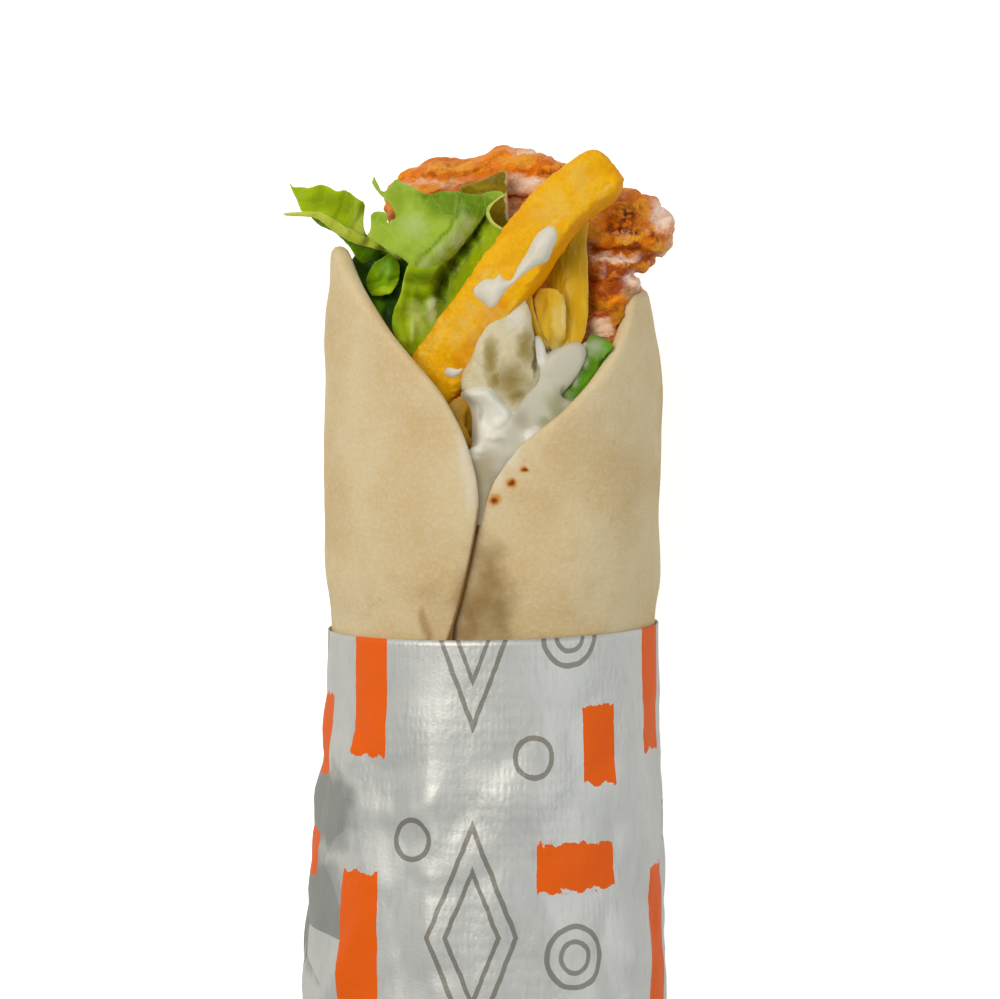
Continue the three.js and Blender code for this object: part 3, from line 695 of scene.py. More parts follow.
RINGS_OF_BAR = 48
bpy.ops.object.select_all(action="DESELECT")
bpy.ops.mesh.primitive_uv_sphere_add(segments=32, ring_count=RINGS_OF_BAR, radius=1)
fry = bpy.context.object
fry.name = "fry_crust"
DOME_SHARE = 4 / RINGS_OF_BAR
for vertex in fry.data.vertices:
    v = math.acos(min(max(-vertex.co.z, -1), 1)) / math.pi
    angle = math.atan2(vertex.co.y, vertex.co.x)
    t = min(max((v - DOME_SHARE) / (1 - 2 * DOME_SHARE), 0), 1)
    opening = min(min(v, 1 - v) / DOME_SHARE, 1) * math.pi / 2
    at, way = along_curve(FRY_PATH, t)
    turned = Matrix.Rotation(FRY_TURN, 3, way)
    side = turned @ way.cross(Vector((0, 0, 1))).normalized()
    front = side.cross(way)
    taper = FRY_WIDEST - FRY_NARROWING * t
    offset = side * squared(math.cos(angle)) * FRY_HALF[0] + front * squared(math.sin(angle)) * FRY_HALF[1]
    end = math.cos(opening) * (-FRY_DOMES[0] if v < 0.5 else FRY_DOMES[1])
    vertex.co = roll(*(at + offset * taper * abs(math.sin(opening)) ** FRY_BLUNT + way * end))
fry.data.update()
select_only(fry)
bpy.ops.object.mode_set(mode="EDIT")
bpy.ops.mesh.select_all(action="SELECT")
bpy.ops.mesh.remove_doubles(threshold=0.001 * MM)
bpy.ops.mesh.normals_make_consistent(inside=False)
bpy.ops.object.mode_set(mode="OBJECT")
remesh(fry, FRY_VOXEL, smoothing=8)


FRY_SIDE, FRY_FRONT = Vector((0.72, -0.64, 0.26)), Vector((-0.19, 0.17, 0.97))


def crust_height(point, normal):
    to_edge = 1 - smoothstep(max(abs(normal.dot(FRY_SIDE)), abs(normal.dot(FRY_FRONT))), 0.82, 0.97)
    crumbs = max(0, lumpy(point, 1.5, 7)) + 0.6 * max(0, lumpy(point, 0.8, 30))
    return 0.40 * lumpy(point, 6, 5) + 0.14 * lumpy(point, 2.6, 6) + (0.10 + 0.30 * to_edge) * crumbs


sculpt(fry, crust_height)

# %% [markdown]
# Fried potato crust is dry with a thin film of fat: a soft highlight that breaks on the blisters. The face
# is pale yellow in patches where the crust is thin, streaked with amber along the cut, and the edges and
# the side run to orange. A face turned to the side gets more of the orange, which the normal gives, and
# the flank turned to +X is painted a deeper orange still, as painted shade.

# %% Fried potato
# A deeper orange along the fry's lower edge.
BROWNED_EDGE = ((-5.2, 44.0), (-4.1, 45.7), (-3.0, 47.4), (-1.9, 49.1), (-0.8, 50.8), (0.3, 52.4),
                (1.4, 53.9))
FRY_SLANT = math.radians(51.6)      # from +X to the fry's own length, seen from above
fry_finish, tree, shader, place = material("fried potato crust", Roughness=0.45, IOR=1.45,
                                           Specular_IOR_Level=0.12)
shader.inputs["Subsurface Weight"].default_value = 0.15
shader.inputs["Subsurface Radius"].default_value = (1.0, 0.45, 0.05)
shader.inputs["Subsurface Scale"].default_value = 1.0 * MM
normal_x, _, normal_z = add(tree, "ShaderNodeSeparateXYZ", {
    0: add(tree, "ShaderNodeNewGeometry").outputs["Normal"]}).outputs
to_edge = add(tree, "ShaderNodeMapRange", {0: normal_z, 1: 0.88, 2: 0.50}).outputs[0]
# Painted shade: the flank turned to +X is given a deeper orange.
to_right = add(tree, "ShaderNodeMapRange", {0: normal_x, 1: 0.30, 2: 0.75}).outputs[0]
thin_crust = mottling(tree, place, 6, 0.46, 0.64, detail=5)
pale_core = patches(tree, wobble(tree, place, 4, 1.2), (
    ((13.8, 73.2, 45), (2.2, 3.0, 5)), ((9.8, 69.2, 46), (3.0, 2.6, 5))), rim=0.8)
bared_low = patches(tree, wobble(tree, place, 3, 1.2), (
    ((-4.6, 49.2, 45), (2.8, 2.8, 6)), ((-2.4, 52.2, 45), (2.0, 1.6, 6))), rim=0.6)
granules = mottling(tree, place, 1.7, 0.30, 0.66, detail=4)
browned = patches(tree, wobble(tree, place, 2.5, 0.6),
                  [((x, y, 44), (1.0, 1.5, 6)) for x, y in BROWNED_EDGE], rim=0.8)
along_fry = add(tree, "ShaderNodeMapping", {"Vector": place, "Rotation": (0, 0, -FRY_SLANT)}).outputs[0]
amber_streaks = mottling(tree, along_fry, 2.4, 0.48, 0.62, detail=5, stretch=(0.35, 1, 1))
pale_streaks = mottling(tree, along_fry, 3.4, 0.54, 0.66, detail=5, stretch=(0.45, 1, 1))
crust_grain = mottling(tree, place, 0.6, 0.46, 0.60, detail=5)
blisters = mottling(tree, place, 1.0, 0.38, 0.68, detail=4)
crust = coats(
    tree, "#f5b900",
    (times(tree, thin_crust, 0.40), "#f9d03a"),
    (times(tree, blisters, 0.15), "#f8cf3c"),
    (times(tree, mottling(tree, place, 3.0, 0.54, 0.70), 0.45), "#eda000"),
    (times(tree, amber_streaks, 0.50), "#e6a000"),
    (times(tree, pale_streaks, 0.50), "#f3d45e"),
    (times(tree, crust_grain, 0.30), "#dd9c00"),
    (times(tree, to_edge, 0.50), "#f2a600"),
    (times(tree, times(tree, pale_core, mottling(tree, place, 2.2, 0.34, 0.52, detail=4)), 0.50),
     "#e8c456"),
    (times(tree, times(tree, bared_low, granules), 0.80), "#dfb955"),
    (times(tree, browned, 0.55), "#d98000"),
    (times(tree, to_right, 0.60), "#f39c00"))
tree.links.new(crust, shader.inputs["Base Color"])
relief(tree, shader, (blisters, 0.05), (thin_crust, 0.10))
hand_over(fry, "fry", fry_finish)


# %% [markdown]
# ## Tools for sheets and puddles
# A leaf, a slice of pepper or a puddle of sauce is a thin thing with an outline of its own. Each is cut
# here as from a paper pattern: the outline, seen from the front, is filled with small triangles, which no
# operator can do without a window. Every point is then lifted to its height. How far a point lies in from
# the rim is kept with it, so that a finish can be paler at the edge.

# %% Sheets
def smooth_outline(corners, steps=4):
    """A closed outline through the corners, rounded between them."""
    count = len(corners)
    outline = []
    for i in range(count):
        a, b, c, d = (Vector(corners[(i + j) % count]) for j in (-1, 0, 1, 2))
        for k in range(steps):
            t = k / steps
            outline.append(0.5 * (2 * b + (c - a) * t + (2 * a - 5 * b + 4 * c - d) * t ** 2
                                  + (3 * b - a - 3 * c + d) * t ** 3))
    return outline


def inside(point, outline):
    """True where a point lies within a closed outline."""
    odd = False
    for a, b in zip(outline, outline[1:] + outline[:1]):
        if ((a.y > point.y) != (b.y > point.y)
                and point.x < a.x + (b.x - a.x) * (point.y - a.y) / (b.y - a.y)):
            odd = not odd
    return odd


def sheet(name, corners, height, step=0.45):
    """A thin sheet with that outline. height(x, y, inward) gives its Z, in the roll's millimetres."""
    outline = smooth_outline(corners)
    rim_tree = kdtree.KDTree(4 * len(outline))
    for i, (a, b) in enumerate(zip(outline, outline[1:] + outline[:1])):
        for j in range(4):
            rim_tree.insert(a.lerp(b, j / 4).to_3d(), 4 * i + j)
    rim_tree.balance()
    low = Vector((min(p.x for p in outline), min(p.y for p in outline)))
    high = Vector((max(p.x for p in outline), max(p.y for p in outline)))
    filling = []
    for row in range(1, int((high.y - low.y) / step)):
        for column in range(1, int((high.x - low.x) / step)):
            spot = low + Vector(((column + 0.5 * (row % 2)) * step, row * step))
            if inside(spot, outline) and rim_tree.find(spot.to_3d())[2] > 0.6 * step:
                filling.append(spot)
    rim = [(i, (i + 1) % len(outline)) for i in range(len(outline))]
    spots, _, faces, *_ = geometry.delaunay_2d_cdt(outline + filling, rim, [], 1, 1e-5)
    inward = [rim_tree.find(spot.to_3d())[2] for spot in spots]
    mesh = bpy.data.meshes.new(name)
    mesh.from_pydata([roll(s.x, s.y, height(s.x, s.y, d)) for s, d in zip(spots, inward)], [], faces)
    mesh.attributes.new("rim", "FLOAT", "POINT").data.foreach_set("value", inward)
    piece = bpy.data.objects.new(name, mesh)
    scene.collection.objects.link(piece)
    select_only(piece)
    bpy.ops.object.mode_set(mode="EDIT")
    bpy.ops.mesh.select_all(action="SELECT")
    bpy.ops.mesh.normals_make_consistent(inside=False)
    bpy.ops.object.mode_set(mode="OBJECT")
    if sum(face.normal.z for face in mesh.polygons) < 0:
        mesh.flip_normals()
    return piece


def joined(name, parts):
    """Several pieces as one."""
    bpy.ops.object.select_all(action="DESELECT")
    for part in parts:
        part.select_set(True)
    bpy.context.view_layer.objects.active = parts[0]
    bpy.ops.object.join()
    parts[0].name = name
    return parts[0]


# %% [markdown]
# A puddle is laid on whatever is under it, by a ray from above at each point. It sags into hollows, so its
# heights are smoothed, and then it swells from its rim up to its thickness, as surface tension rounds it.

# %% Puddles
ABOVE_ALL = 80              # rays start at this height
RIM_SUNK = 0.12             # a puddle's rim sits this deep in what is under it


def top_of(piece, x, y):
    """The height of a piece's upper side at a place, or None beside it."""
    hit, where, _, _ = piece.ray_cast(roll(x, y, ABOVE_ALL), Vector((0, 0, -1)))
    return in_roll(where).z if hit else None


def filled_below(piece, depth):
    """Makes a closed body of a sheet by drawing it straight down."""
    select_only(piece)
    bpy.ops.object.mode_set(mode="EDIT")
    bpy.ops.mesh.select_all(action="SELECT")
    bpy.ops.mesh.extrude_region_move(TRANSFORM_OT_translate={"value": (0, 0, -depth * MM)})
    bpy.ops.mesh.select_all(action="SELECT")
    bpy.ops.mesh.normals_make_consistent(inside=False)
    bpy.ops.object.mode_set(mode="OBJECT")
    return piece


def poured(name, corners, under, thickness, rounding, drape=6, lowest=0, step=0.4, shape=None, depth=0.6):
    """A puddle with that outline on the pieces under it. shape(x, y), if given, adds to its height."""
    def rest(x, y, inward):
        tops = [top_of(piece, x, y) for piece in under]
        return max([top for top in tops if top is not None] + [lowest])

    puddle = sheet(name, corners, rest, step)
    modify(puddle, "SMOOTH", factor=0.5, iterations=drape, use_x=False, use_y=False)
    inward = [value.value for value in puddle.data.attributes["rim"].data]
    for vertex, depth_in in zip(puddle.data.vertices, inward):
        swell = 1 - (1 - min(depth_in / rounding, 1)) ** 2
        point = in_roll(vertex.co)
        vertex.co.z += (swell * (thickness + (shape(point.x, point.y) if shape else 0)) - RIM_SUNK) * MM
    return filled_below(puddle, depth)


# %% [markdown]
# ## Sauce on the fry
# Garlic sauce was drizzled over the fry from a bottle: it starts in a wide blob, thins as it runs down, and
# ends in a puddle with a nub. A small dab lies further down.

# %% Drizzle
DRIZZLE = (
    (9.3, 66.4), (10.3, 65.6), (10.4, 64.3), (9.6, 62.4), (8.7, 60.5), (6.9, 59.7), (4.8, 58.2),
    (2.9, 56.5), (1.6, 55.0), (0.6, 53.4), (-0.5, 53.0), (-1.4, 53.8), (-2.7, 54.7), (-3.2, 55.8),
    (-2.6, 56.8), (-1.3, 57.8), (0.2, 57.9), (1.1, 58.7), (1.9, 57.8), (3.0, 57.8), (4.0, 59.8),
    (5.3, 61.8), (6.1, 63.5), (7.4, 65.4))
DAB = ((-7.9, 42.6), (-7.1, 43.6), (-5.6, 43.3), (-4.8, 43.9), (-4.7, 43.0), (-5.8, 41.8), (-7.1, 41.7))
drizzle = joined("fry_drizzle", [
    poured("run", DRIZZLE, [fry], 0.9, 1.5, lowest=40, step=0.3),
    poured("dab", DAB, [fry], 0.5, 0.9, lowest=36, step=0.3)])
print("drizzle poured with", len(drizzle.data.polygons), "faces")

# %% [markdown]
# Garlic sauce is an emulsion of oil and lemon in garlic: white, slightly warm, smooth and wet, and light
# goes a little way into it. So it gets a low roughness and some subsurface. The sauce on the fry is the
# thickest and whitest. What slid down between the pickles is thinner, and their green shows through it.

# %% Garlic sauce finishes
def garlic_sauce(name, ground, film, share, parts=()):
    """A sauce's finish: its white, a duller tone where thin, and placed tones, with painted shade and light.
    """
    finish, tree, shader, place = material(name, Roughness=0.30, IOR=1.4, Specular_IOR_Level=0.28)
    shader.inputs["Subsurface Weight"].default_value = 0.2
    shader.inputs["Subsurface Radius"].default_value = (1.0, 0.9, 0.7)
    shader.inputs["Subsurface Scale"].default_value = 1.0 * MM
    layers = [(times(tree, mottling(tree, place, 4, 0.40, 0.70, detail=3), share), film)]
    bent = wobble(tree, place, 2.5, 0.5)
    for places, softness, amount, tone in parts:
        layers.append((times(tree, patches(tree, bent, places, rim=softness), amount), tone))
    tree.links.new(coats(tree, ground, *layers), shader.inputs["Base Color"])
    relief(tree, shader, (mottling(tree, place, 1.6, 0.3, 0.7), 0.04))
    return finish


drizzle_finish = garlic_sauce("garlic sauce, thick", "#e0ddcc", "#d2cdb8", 0.3)
hand_over(drizzle, "fry", drizzle_finish)

# %% [markdown]
# ## Lettuce
# Three pieces of green lettuce stand in the mouth. A leaf is a thin sheet with an outline of lobes, points
# and notches, and it is never flat: ribs hold it up and the edge ruffles. The front leaf is folded over:
# above the fold its pale, matt back shows, and below it the bright face runs down to a point behind the
# fry. So it is cut as two sheets, the flap over the face, each laid on the solid, and a thin strip makes the
# lip where the flap's edge curls.

# %% Front leaf
LEAF_THICKNESS = 0.4
NEAR_CORNERS = 44           # the solid's corners that share in a height
NEAR_REACH = 2.2            # how far off a corner still counts
FLAP_OUTLINE = (
    (-20.5, 64.5), (-20.0, 65.3), (-19.9, 66.9), (-19.9, 67.9), (-19.2, 68.4), (-18.1, 68.5), (-17.1, 68.2),
    (-17.0, 67.5), (-17.1, 66.6), (-16.5, 67.1), (-15.8, 67.5), (-16.3, 69.0), (-17.0, 69.8), (-18.7, 71.3),
    (-19.7, 72.9), (-19.5, 73.8), (-19.2, 74.0), (-18.6, 73.0), (-17.9, 71.7), (-17.1, 72.2), (-16.3, 73.3),
    (-15.8, 73.7), (-15.0, 73.3), (-14.1, 72.9), (-12.9, 72.5), (-11.5, 71.7), (-10.7, 71.3), (-9.0, 71.6),
    (-7.3, 71.9), (-5.5, 71.7), (-3.9, 71.4), (-2.1, 71.3), (-1.0, 71.7), (0.5, 71.9), (1.6, 71.6),
    (1.9, 70.9), (0.6, 70.3), (-0.5, 69.2), (-1.1, 67.9), (-2.3, 66.3), (-3.7, 64.3), (-5.0, 62.7),
    (-6.6, 60.9), (-8.6, 59.5), (-10.7, 59.2), (-12.8, 59.2), (-14.1, 60.3), (-15.5, 61.3), (-17.0, 61.9),
    (-18.9, 63.4))
FACE_OUTLINE = (
    (-13.6, 45.2), (-15.4, 47.3), (-16.5, 49.9), (-16.2, 52.5), (-15.2, 54.6), (-14.7, 57.2), (-13.9, 59.8),
    (-11.8, 61.4), (-7.8, 63.7), (-3.7, 66.9), (-1.1, 69.5), (-0.6, 69.0), (-0.8, 67.9), (0.2, 66.4),
    (1.9, 65.3), (3.2, 63.8), (-0.2, 59.8), (-3.4, 55.8), (-6.6, 51.7), (-9.9, 47.7), (-12.3, 45.1))
FOLD = (
    (-17.0, 61.9), (-15.5, 61.3), (-14.1, 60.3), (-12.8, 59.2), (-10.7, 59.2), (-8.6, 59.5), (-6.6, 60.9),
    (-5.0, 62.7), (-3.7, 64.3), (-2.3, 66.3), (-1.1, 67.9))
CREASE = ((-1.3, 67.7), (-2.9, 65.0), (-4.9, 62.2), (-6.6, 59.8), (-8.1, 57.4), (-8.8, 55.0))
MAIN_RIB = ((-12.1, 59.6), (-9.9, 62.2), (-7.4, 65.0), (-5.8, 67.7), (-5.0, 70.4))
FACE_RIDGE = ((-14.3, 58.5), (-14.8, 56.1), (-15.4, 53.7), (-15.8, 50.4), (-14.6, 47.6))
GLOSS = ((-9.2, 54.4), (-10.2, 52.9), (-11.0, 51.6))
RIM_LIP = (
    (1.9, 71.1, 0.22), (0.6, 70.3, 0.34), (-0.5, 69.2, 0.38), (-0.8, 67.9, 0.38), (0.2, 66.4, 0.36),
    (1.8, 65.5, 0.26))


def height_of(node):
    """A function that gives a thin solid's height at X and Y, averaged over the corners that are near."""
    corners = [in_roll(v.co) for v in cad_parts[node].data.vertices]
    near_tree = kdtree.KDTree(len(corners))
    for i, corner in enumerate(corners):
        near_tree.insert((corner.x, corner.y, 0), i)
    near_tree.balance()

    def height(x, y):
        near = near_tree.find_n((x, y, 0), NEAR_CORNERS)
        weights = [math.exp(-(distance / NEAR_REACH) ** 2) + 1e-9 for _, _, distance in near]
        return sum(w * corners[i].z for w, (_, i, _) in zip(weights, near)) / sum(weights)
    return height


def ribbon(line):
    """The outline of a strip along a line of points, each with its half width."""
    left, right = [], []
    for i, (x, y, half) in enumerate(line):
        before, after = line[max(i - 1, 0)], line[min(i + 1, len(line) - 1)]
        way = Vector((after[0] - before[0], after[1] - before[1])).normalized()
        left.append((x - way.y * half, y + way.x * half))
        right.append((x + way.y * half, y - way.x * half))
    return left + right[::-1]


def bump(x, y, line, width):
    """1 on a line of points, falling to 0 over the width."""
    return math.exp(-(nearest(x, y, line) / width) ** 2)


front_height = height_of("lettuce_front")


def flap_height(x, y, inward):
    point = Vector((x, y, 0))
    ruffle = (0.6 * math.sin(1.15 * x + 0.3 * y) + 0.6 * lumpy(point, 3.2, 8)) * smoothstep(y, 66, 71)
    folds = (0.22 * math.sin(1.3 * (0.77 * x - 0.64 * y)) + 0.40 * lumpy(point, 5, 9)
             + 0.10 * lumpy(point, 1.8, 10))
    rise = 0.7 + 1.2 * smoothstep(nearest(x, y, FOLD), 0, 4)
    return (front_height(x, y) + rise - 0.8 * bump(x, y, FOLD, 0.35) - 0.5 * bump(x, y, MAIN_RIB, 0.3)
            + ruffle + folds)


def face_height(x, y, inward):
    point = Vector((x, y, 0))
    form = 0.9 * bump(x, y, FACE_RIDGE, 1.0) - 1.9 * bump(x, y, CREASE, 0.8) + 0.7 * bump(x, y, GLOSS, 0.8)
    form += 0.8 * bump(x, y, FOLD[:8], 1.6)
    foot = 0.5 * bump(x, y, ((-13.0, 50.4), (-13.0, 47.6)), 0.6)
    return front_height(x, y) - 0.3 + form + foot + 0.35 * lumpy(point, 4.5, 11)


def rim_height(x, y, inward):
    return flap_height(x, y, inward) + 0.5 + 0.6 * min(inward, 0.4)


def made_leaf(name, corners, height, levels=1):
    leaf = sheet(name, corners, height)
    modify(leaf, "SMOOTH", factor=0.5, iterations=2)
    modify(leaf, "SOLIDIFY", thickness=LEAF_THICKNESS * MM, offset=0)
    subdivide(leaf, levels)
    return leaf


front_flap = made_leaf("lettuce_front_flap", FLAP_OUTLINE, flap_height)
front_face = made_leaf("lettuce_front_face", FACE_OUTLINE, face_height)
front_lip = made_leaf("lettuce_front_lip", ribbon(RIM_LIP), rim_height)
print("front leaf cut with", len(front_flap.data.polygons) + len(front_face.data.polygons), "faces")

# %% [markdown]
# The left leaf leans out over the rim of the bread. Its upper sheet is yellow-green, its lower edge is
# rolled into a pale lip, and a dark band goes down behind the bread from there. The inner leaf stands in
# their shade with a small lobe folded over it.

# %% Left and inner leaves
FROND_OUTLINE = (
    (-33.1, 72.9), (-32.5, 72.4), (-31.0, 72.4), (-29.9, 72.3), (-28.7, 72.8), (-27.8, 72.9), (-26.6, 72.4),
    (-25.5, 71.8), (-24.2, 71.9), (-23.2, 71.5), (-22.1, 70.6), (-21.1, 70.0), (-20.8, 69.2), (-20.9, 67.9),
    (-21.0, 66.3), (-20.6, 64.8), (-19.7, 63.8), (-17.4, 62.4), (-15.4, 60.8), (-17.7, 61.7), (-19.8, 63.2),
    (-22.3, 64.7), (-24.9, 65.8), (-27.1, 67.4), (-28.6, 68.1), (-30.9, 68.2), (-31.5, 69.0), (-32.0, 70.2),
    (-32.8, 71.5))
LIP = (
    (-33.9, 68.0, 0.25), (-31.9, 68.0, 0.45), (-30.3, 68.0, 0.55), (-28.5, 67.8, 0.65), (-27.1, 67.1, 0.8),
    (-25.3, 65.8, 0.95), (-23.5, 64.7, 1.0), (-21.6, 63.8, 0.9), (-19.6, 63.1, 0.8), (-17.0, 62.0, 0.55),
    (-15.2, 60.6, 0.3))
BAND_OUTLINE = (
    (-29.6, 67.4), (-28.4, 66.1), (-27.1, 65.5), (-25.8, 64.8), (-24.9, 64.0), (-24.1, 63.2), (-23.2, 62.1),
    (-22.3, 60.6), (-21.3, 59.8), (-20.0, 60.4), (-18.4, 61.2), (-16.7, 61.2), (-18.6, 63.0), (-21.1, 64.0),
    (-23.4, 64.8), (-25.0, 65.9), (-26.6, 67.5), (-28.4, 68.0))
INNER_OUTLINE = (
    (-23.6, 59.6), (-22.4, 61.4), (-21.1, 62.4), (-18.4, 62.9), (-15.8, 61.9), (-12.9, 59.5), (-13.2, 56.0),
    (-13.8, 52.8), (-14.4, 49.5), (-13.4, 46.1), (-15.5, 45.0), (-17.6, 46.2), (-20.0, 49.9), (-22.6, 54.5))
LOBE_OUTLINE = (
    (-20.7, 57.5), (-20.3, 58.7), (-19.4, 60.1), (-18.1, 60.9), (-17.1, 61.6), (-16.0, 61.1), (-15.3, 60.0),
    (-15.1, 58.5), (-15.3, 57.0), (-15.8, 55.9), (-16.6, 54.9), (-17.6, 54.6), (-19.4, 54.4), (-20.0, 54.8),
    (-20.5, 55.6), (-20.8, 56.5))
LOBE_CREASE = ((-20.9, 56.3), (-19.7, 56.7), (-17.1, 56.9), (-15.0, 57.5))
left_height, inner_height = height_of("lettuce_left"), height_of("lettuce_inner")


def frond_height(x, y, inward):
    point = Vector((x, y, 0))
    return (left_height(x, y) + 0.4 + 0.6 * lumpy(point, 3.4, 13) + 0.12 * lumpy(point, 1.5, 14)
            + 0.6 * math.sin(1.3 * x - 0.4 * y) * smoothstep(y, 68, 72))


def lip_height(x, y, inward):
    return left_height(x, y) + 1.9 + 1.1 * min(inward, 0.7) + 0.15 * lumpy(Vector((x, y, 0)), 2, 15)


def band_height(x, y, inward):
    return left_height(x, y) - 0.3 + 0.3 * lumpy(Vector((x, y, 0)), 2.2, 16)


def inner_leaf_height(x, y, inward):
    point = Vector((x, y, 0))
    ridge = 0.8 * math.exp(-(nearest(x, y, ((-18.9, 54.6), (-18.4, 50.6))) / 0.6) ** 2)
    return inner_height(x, y) - 0.9 + ridge + 0.8 * lumpy(point, 3.5, 17) + 0.3 * lumpy(point, 1.5, 18)


def lobe_height(x, y, inward):
    crown = 1 - ((x + 18) / 3.2) ** 2 - ((y - 58) / 4.2) ** 2
    crease = -0.8 * math.exp(-(nearest(x, y, LOBE_CREASE) / 0.35) ** 2)
    return (inner_height(x, y) + 1.5 + 1.2 * max(crown, -0.6) + crease
            + 0.25 * lumpy(Vector((x, y, 0)), 1.8, 19))


left_frond = made_leaf("lettuce_left_frond", FROND_OUTLINE, frond_height)
left_lip = made_leaf("lettuce_left_lip", ribbon(LIP), lip_height)
left_band = made_leaf("lettuce_left_band", BAND_OUTLINE, band_height)
inner_leaf = made_leaf("lettuce_inner_leaf", INNER_OUTLINE, inner_leaf_height)
inner_lobe = made_leaf("lettuce_inner_lobe", LOBE_OUTLINE, lobe_height)

# %% [markdown]
# A lettuce leaf is waxy: a broad soft highlight, and light that shines through where it is thin. Fine ribs
# run up the leaf in long cells about 4 mm wide, a little paler than the leaf, and its cut edge is paler
# too. The pieces differ in their greens: the pale back of the front leaf, its bright face, the yellow-green
# frond, and the inside leaf, painted dark for the shade that it stands in. Placed parts also paint light
# and shade on the leaves: sheen and highlights where they face the light, shade in creases and under the
# fold.

# %% Lettuce leaf
RIB_CELL, VEIN_CELL = 4.0, 1.2


def lettuce(name, ground, cloud, rib, parts=(), roughness=0.36, cut=0.45):
    """A leaf's finish: green, clouds, ribs, placed parts with painted light and shade, and how pale its cut
    edge is.
    """
    finish, tree, shader, place = material(name, Roughness=roughness, IOR=1.45, Specular_IOR_Level=0.14)
    shader.inputs["Subsurface Weight"].default_value = 0.1
    shader.inputs["Subsurface Radius"].default_value = (0.5, 1.0, 0.05)
    shader.inputs["Subsurface Scale"].default_value = 0.6 * MM
    bent = wobble(tree, place, 4, 0.7)
    drawn = add(tree, "ShaderNodeMapping", {"Vector": bent, "Scale": (1, 0.45, 1)}).outputs[0]
    veins = []
    for cell, width in ((RIB_CELL, 0.05), (VEIN_CELL, 0.06)):
        net = add(tree, "ShaderNodeTexVoronoi", {"Vector": drawn, "Scale": per(cell)},
                  feature="DISTANCE_TO_EDGE")
        veins.append(add(tree, "ShaderNodeMapRange", {0: net.outputs[0], 1: width, 2: 0}).outputs[0])
    clouds = mottling(tree, place, 5, 0.38, 0.66, detail=5)
    rim = add(tree, "ShaderNodeAttribute", attribute_name="rim").outputs["Fac"]
    edge = add(tree, "ShaderNodeMapRange", {0: rim, 1: 0.45, 2: 0.05}).outputs[0]
    layers = [(times(tree, clouds, 0.55), cloud)]
    for places, softness, share, green in parts:
        layers.append((times(tree, patches(tree, bent, places, rim=softness), share), green))
    layers += [(times(tree, veins[1], 0.08), rib), (times(tree, veins[0], 0.16), rib),
               (times(tree, edge, cut), rib)]
    tree.links.new(coats(tree, ground, *layers), shader.inputs["Base Color"])
    relief(tree, shader, (veins[0], 0.03), (veins[1], 0.015),
           (mottling(tree, place, 2.6, 0.3, 0.7, detail=4), 0.10))
    return finish


RIB_DOTS = [Vector(a).lerp(Vector(b), k / 5) for a, b in zip(MAIN_RIB, MAIN_RIB[1:]) for k in range(5)]
back_finish = lettuce("green lettuce, back of the leaf", "#a2c039", "#8eae24", "#cbdc8c", (
    ((((-5.0, 69.9, 37), (6.0, 2.3, 8)), ((-9.5, 71.2, 36), (3, 1.0, 8)),
      ((-1.6, 68.8, 37), (1.4, 1.8, 8))), 0.6, 0.90, "#628800"),
    # Painted sheen on the side of the main rib that faces the light.
    ([((x + 1.3, y - 0.6, 38), (0.9, 1.6, 8)) for x, y in MAIN_RIB[:4]], 0.9, 0.60, "#c3d29c"),
    # Painted sheen near the fold and on the left of the flap.
    ((((-3.9, 66.4, 38), (1.3, 1.0, 8)), ((-6.4, 63.6, 38), (1.3, 1.2, 8)),
      ((-13.0, 66.0, 37), (2.0, 1.6, 8))), 0.9, 0.45, "#bccf92"),
    # Painted shade along the other side of the main rib.
    ([((x - 0.3, y + 0.2, 38), (0.26, 0.5, 8)) for x, y in RIB_DOTS], 0.8, 0.65, "#6a8a14"),
    ((((-10.0, 60.2, 38), (3.2, 0.6, 8)), ((-15.6, 70.6, 34), (1.8, 1.8, 6))), 0.8, 0.35, "#7f9a1c"),
    ((((-18.6, 72.5, 33), (1.2, 2.0, 6)), ((-18.6, 67.4, 35), (1.2, 1.2, 6))), 0.6, 0.4, "#7da71c")),
    roughness=0.42, cut=0.12)
face_finish = lettuce("green lettuce, face of the leaf", "#98b80c", "#7f9f04", "#bcd048", (
    # Painted shade in the crease beside the fold.
    ([((x, y, 36), (1.1, 2.0, 6)) for x, y in CREASE], 0.8, 0.95, "#2f4600"),
    # Painted light on the strip along the fry, which faces the light.
    ((((0.4, 65.6, 36), (1.3, 2.2, 6)), ((-1.0, 63.0, 36), (1.1, 2.4, 6)),
      ((-3.1, 60.2, 36), (1.0, 2.2, 6))), 0.7, 0.85, "#a6c808"),
    # Painted shade under the flap's fold and in the face's creases.
    ((((-11.5, 57.8, 36), (3.0, 0.9, 6)), ((-8.4, 52.6, 36), (0.9, 2.4, 6)),
      ((-12.2, 53.2, 36), (0.5, 3.2, 6))), 0.8, 0.70, "#536e00"),
    # Painted highlights on the face.
    ((((-10.2, 52.6, 37), (0.8, 1.8, 5)), ((-13.0, 49.0, 37), (0.3, 1.4, 5))), 0.8, 0.8, "#dde8bc"),
    ((((-12.6, 50.8, 36), (1.1, 2.2, 6)),), 0.8, 0.75, "#cfe07c"),
    ((((-14.2, 48.8, 37), (1.3, 2.0, 5)), ((-14.9, 56.0, 37), (0.7, 2.8, 5))), 0.7, 0.7, "#b2d018")),
    roughness=0.28, cut=0.3)
frond_finish = lettuce("green lettuce, frond", "#a3bc00", "#8aa500", "#c2d23a", (
    ((((-27.4, 70.2, 33), (3.0, 0.8, 5)), ((-23.8, 69.6, 32), (1.2, 1.4, 5))), 0.8, 0.65, "#728f00"),
    # Painted highlight on the frond's right part.
    ((((-22.2, 66.2, 33), (1.0, 2.6, 5)),), 0.7, 0.75, "#cfdc5c")))
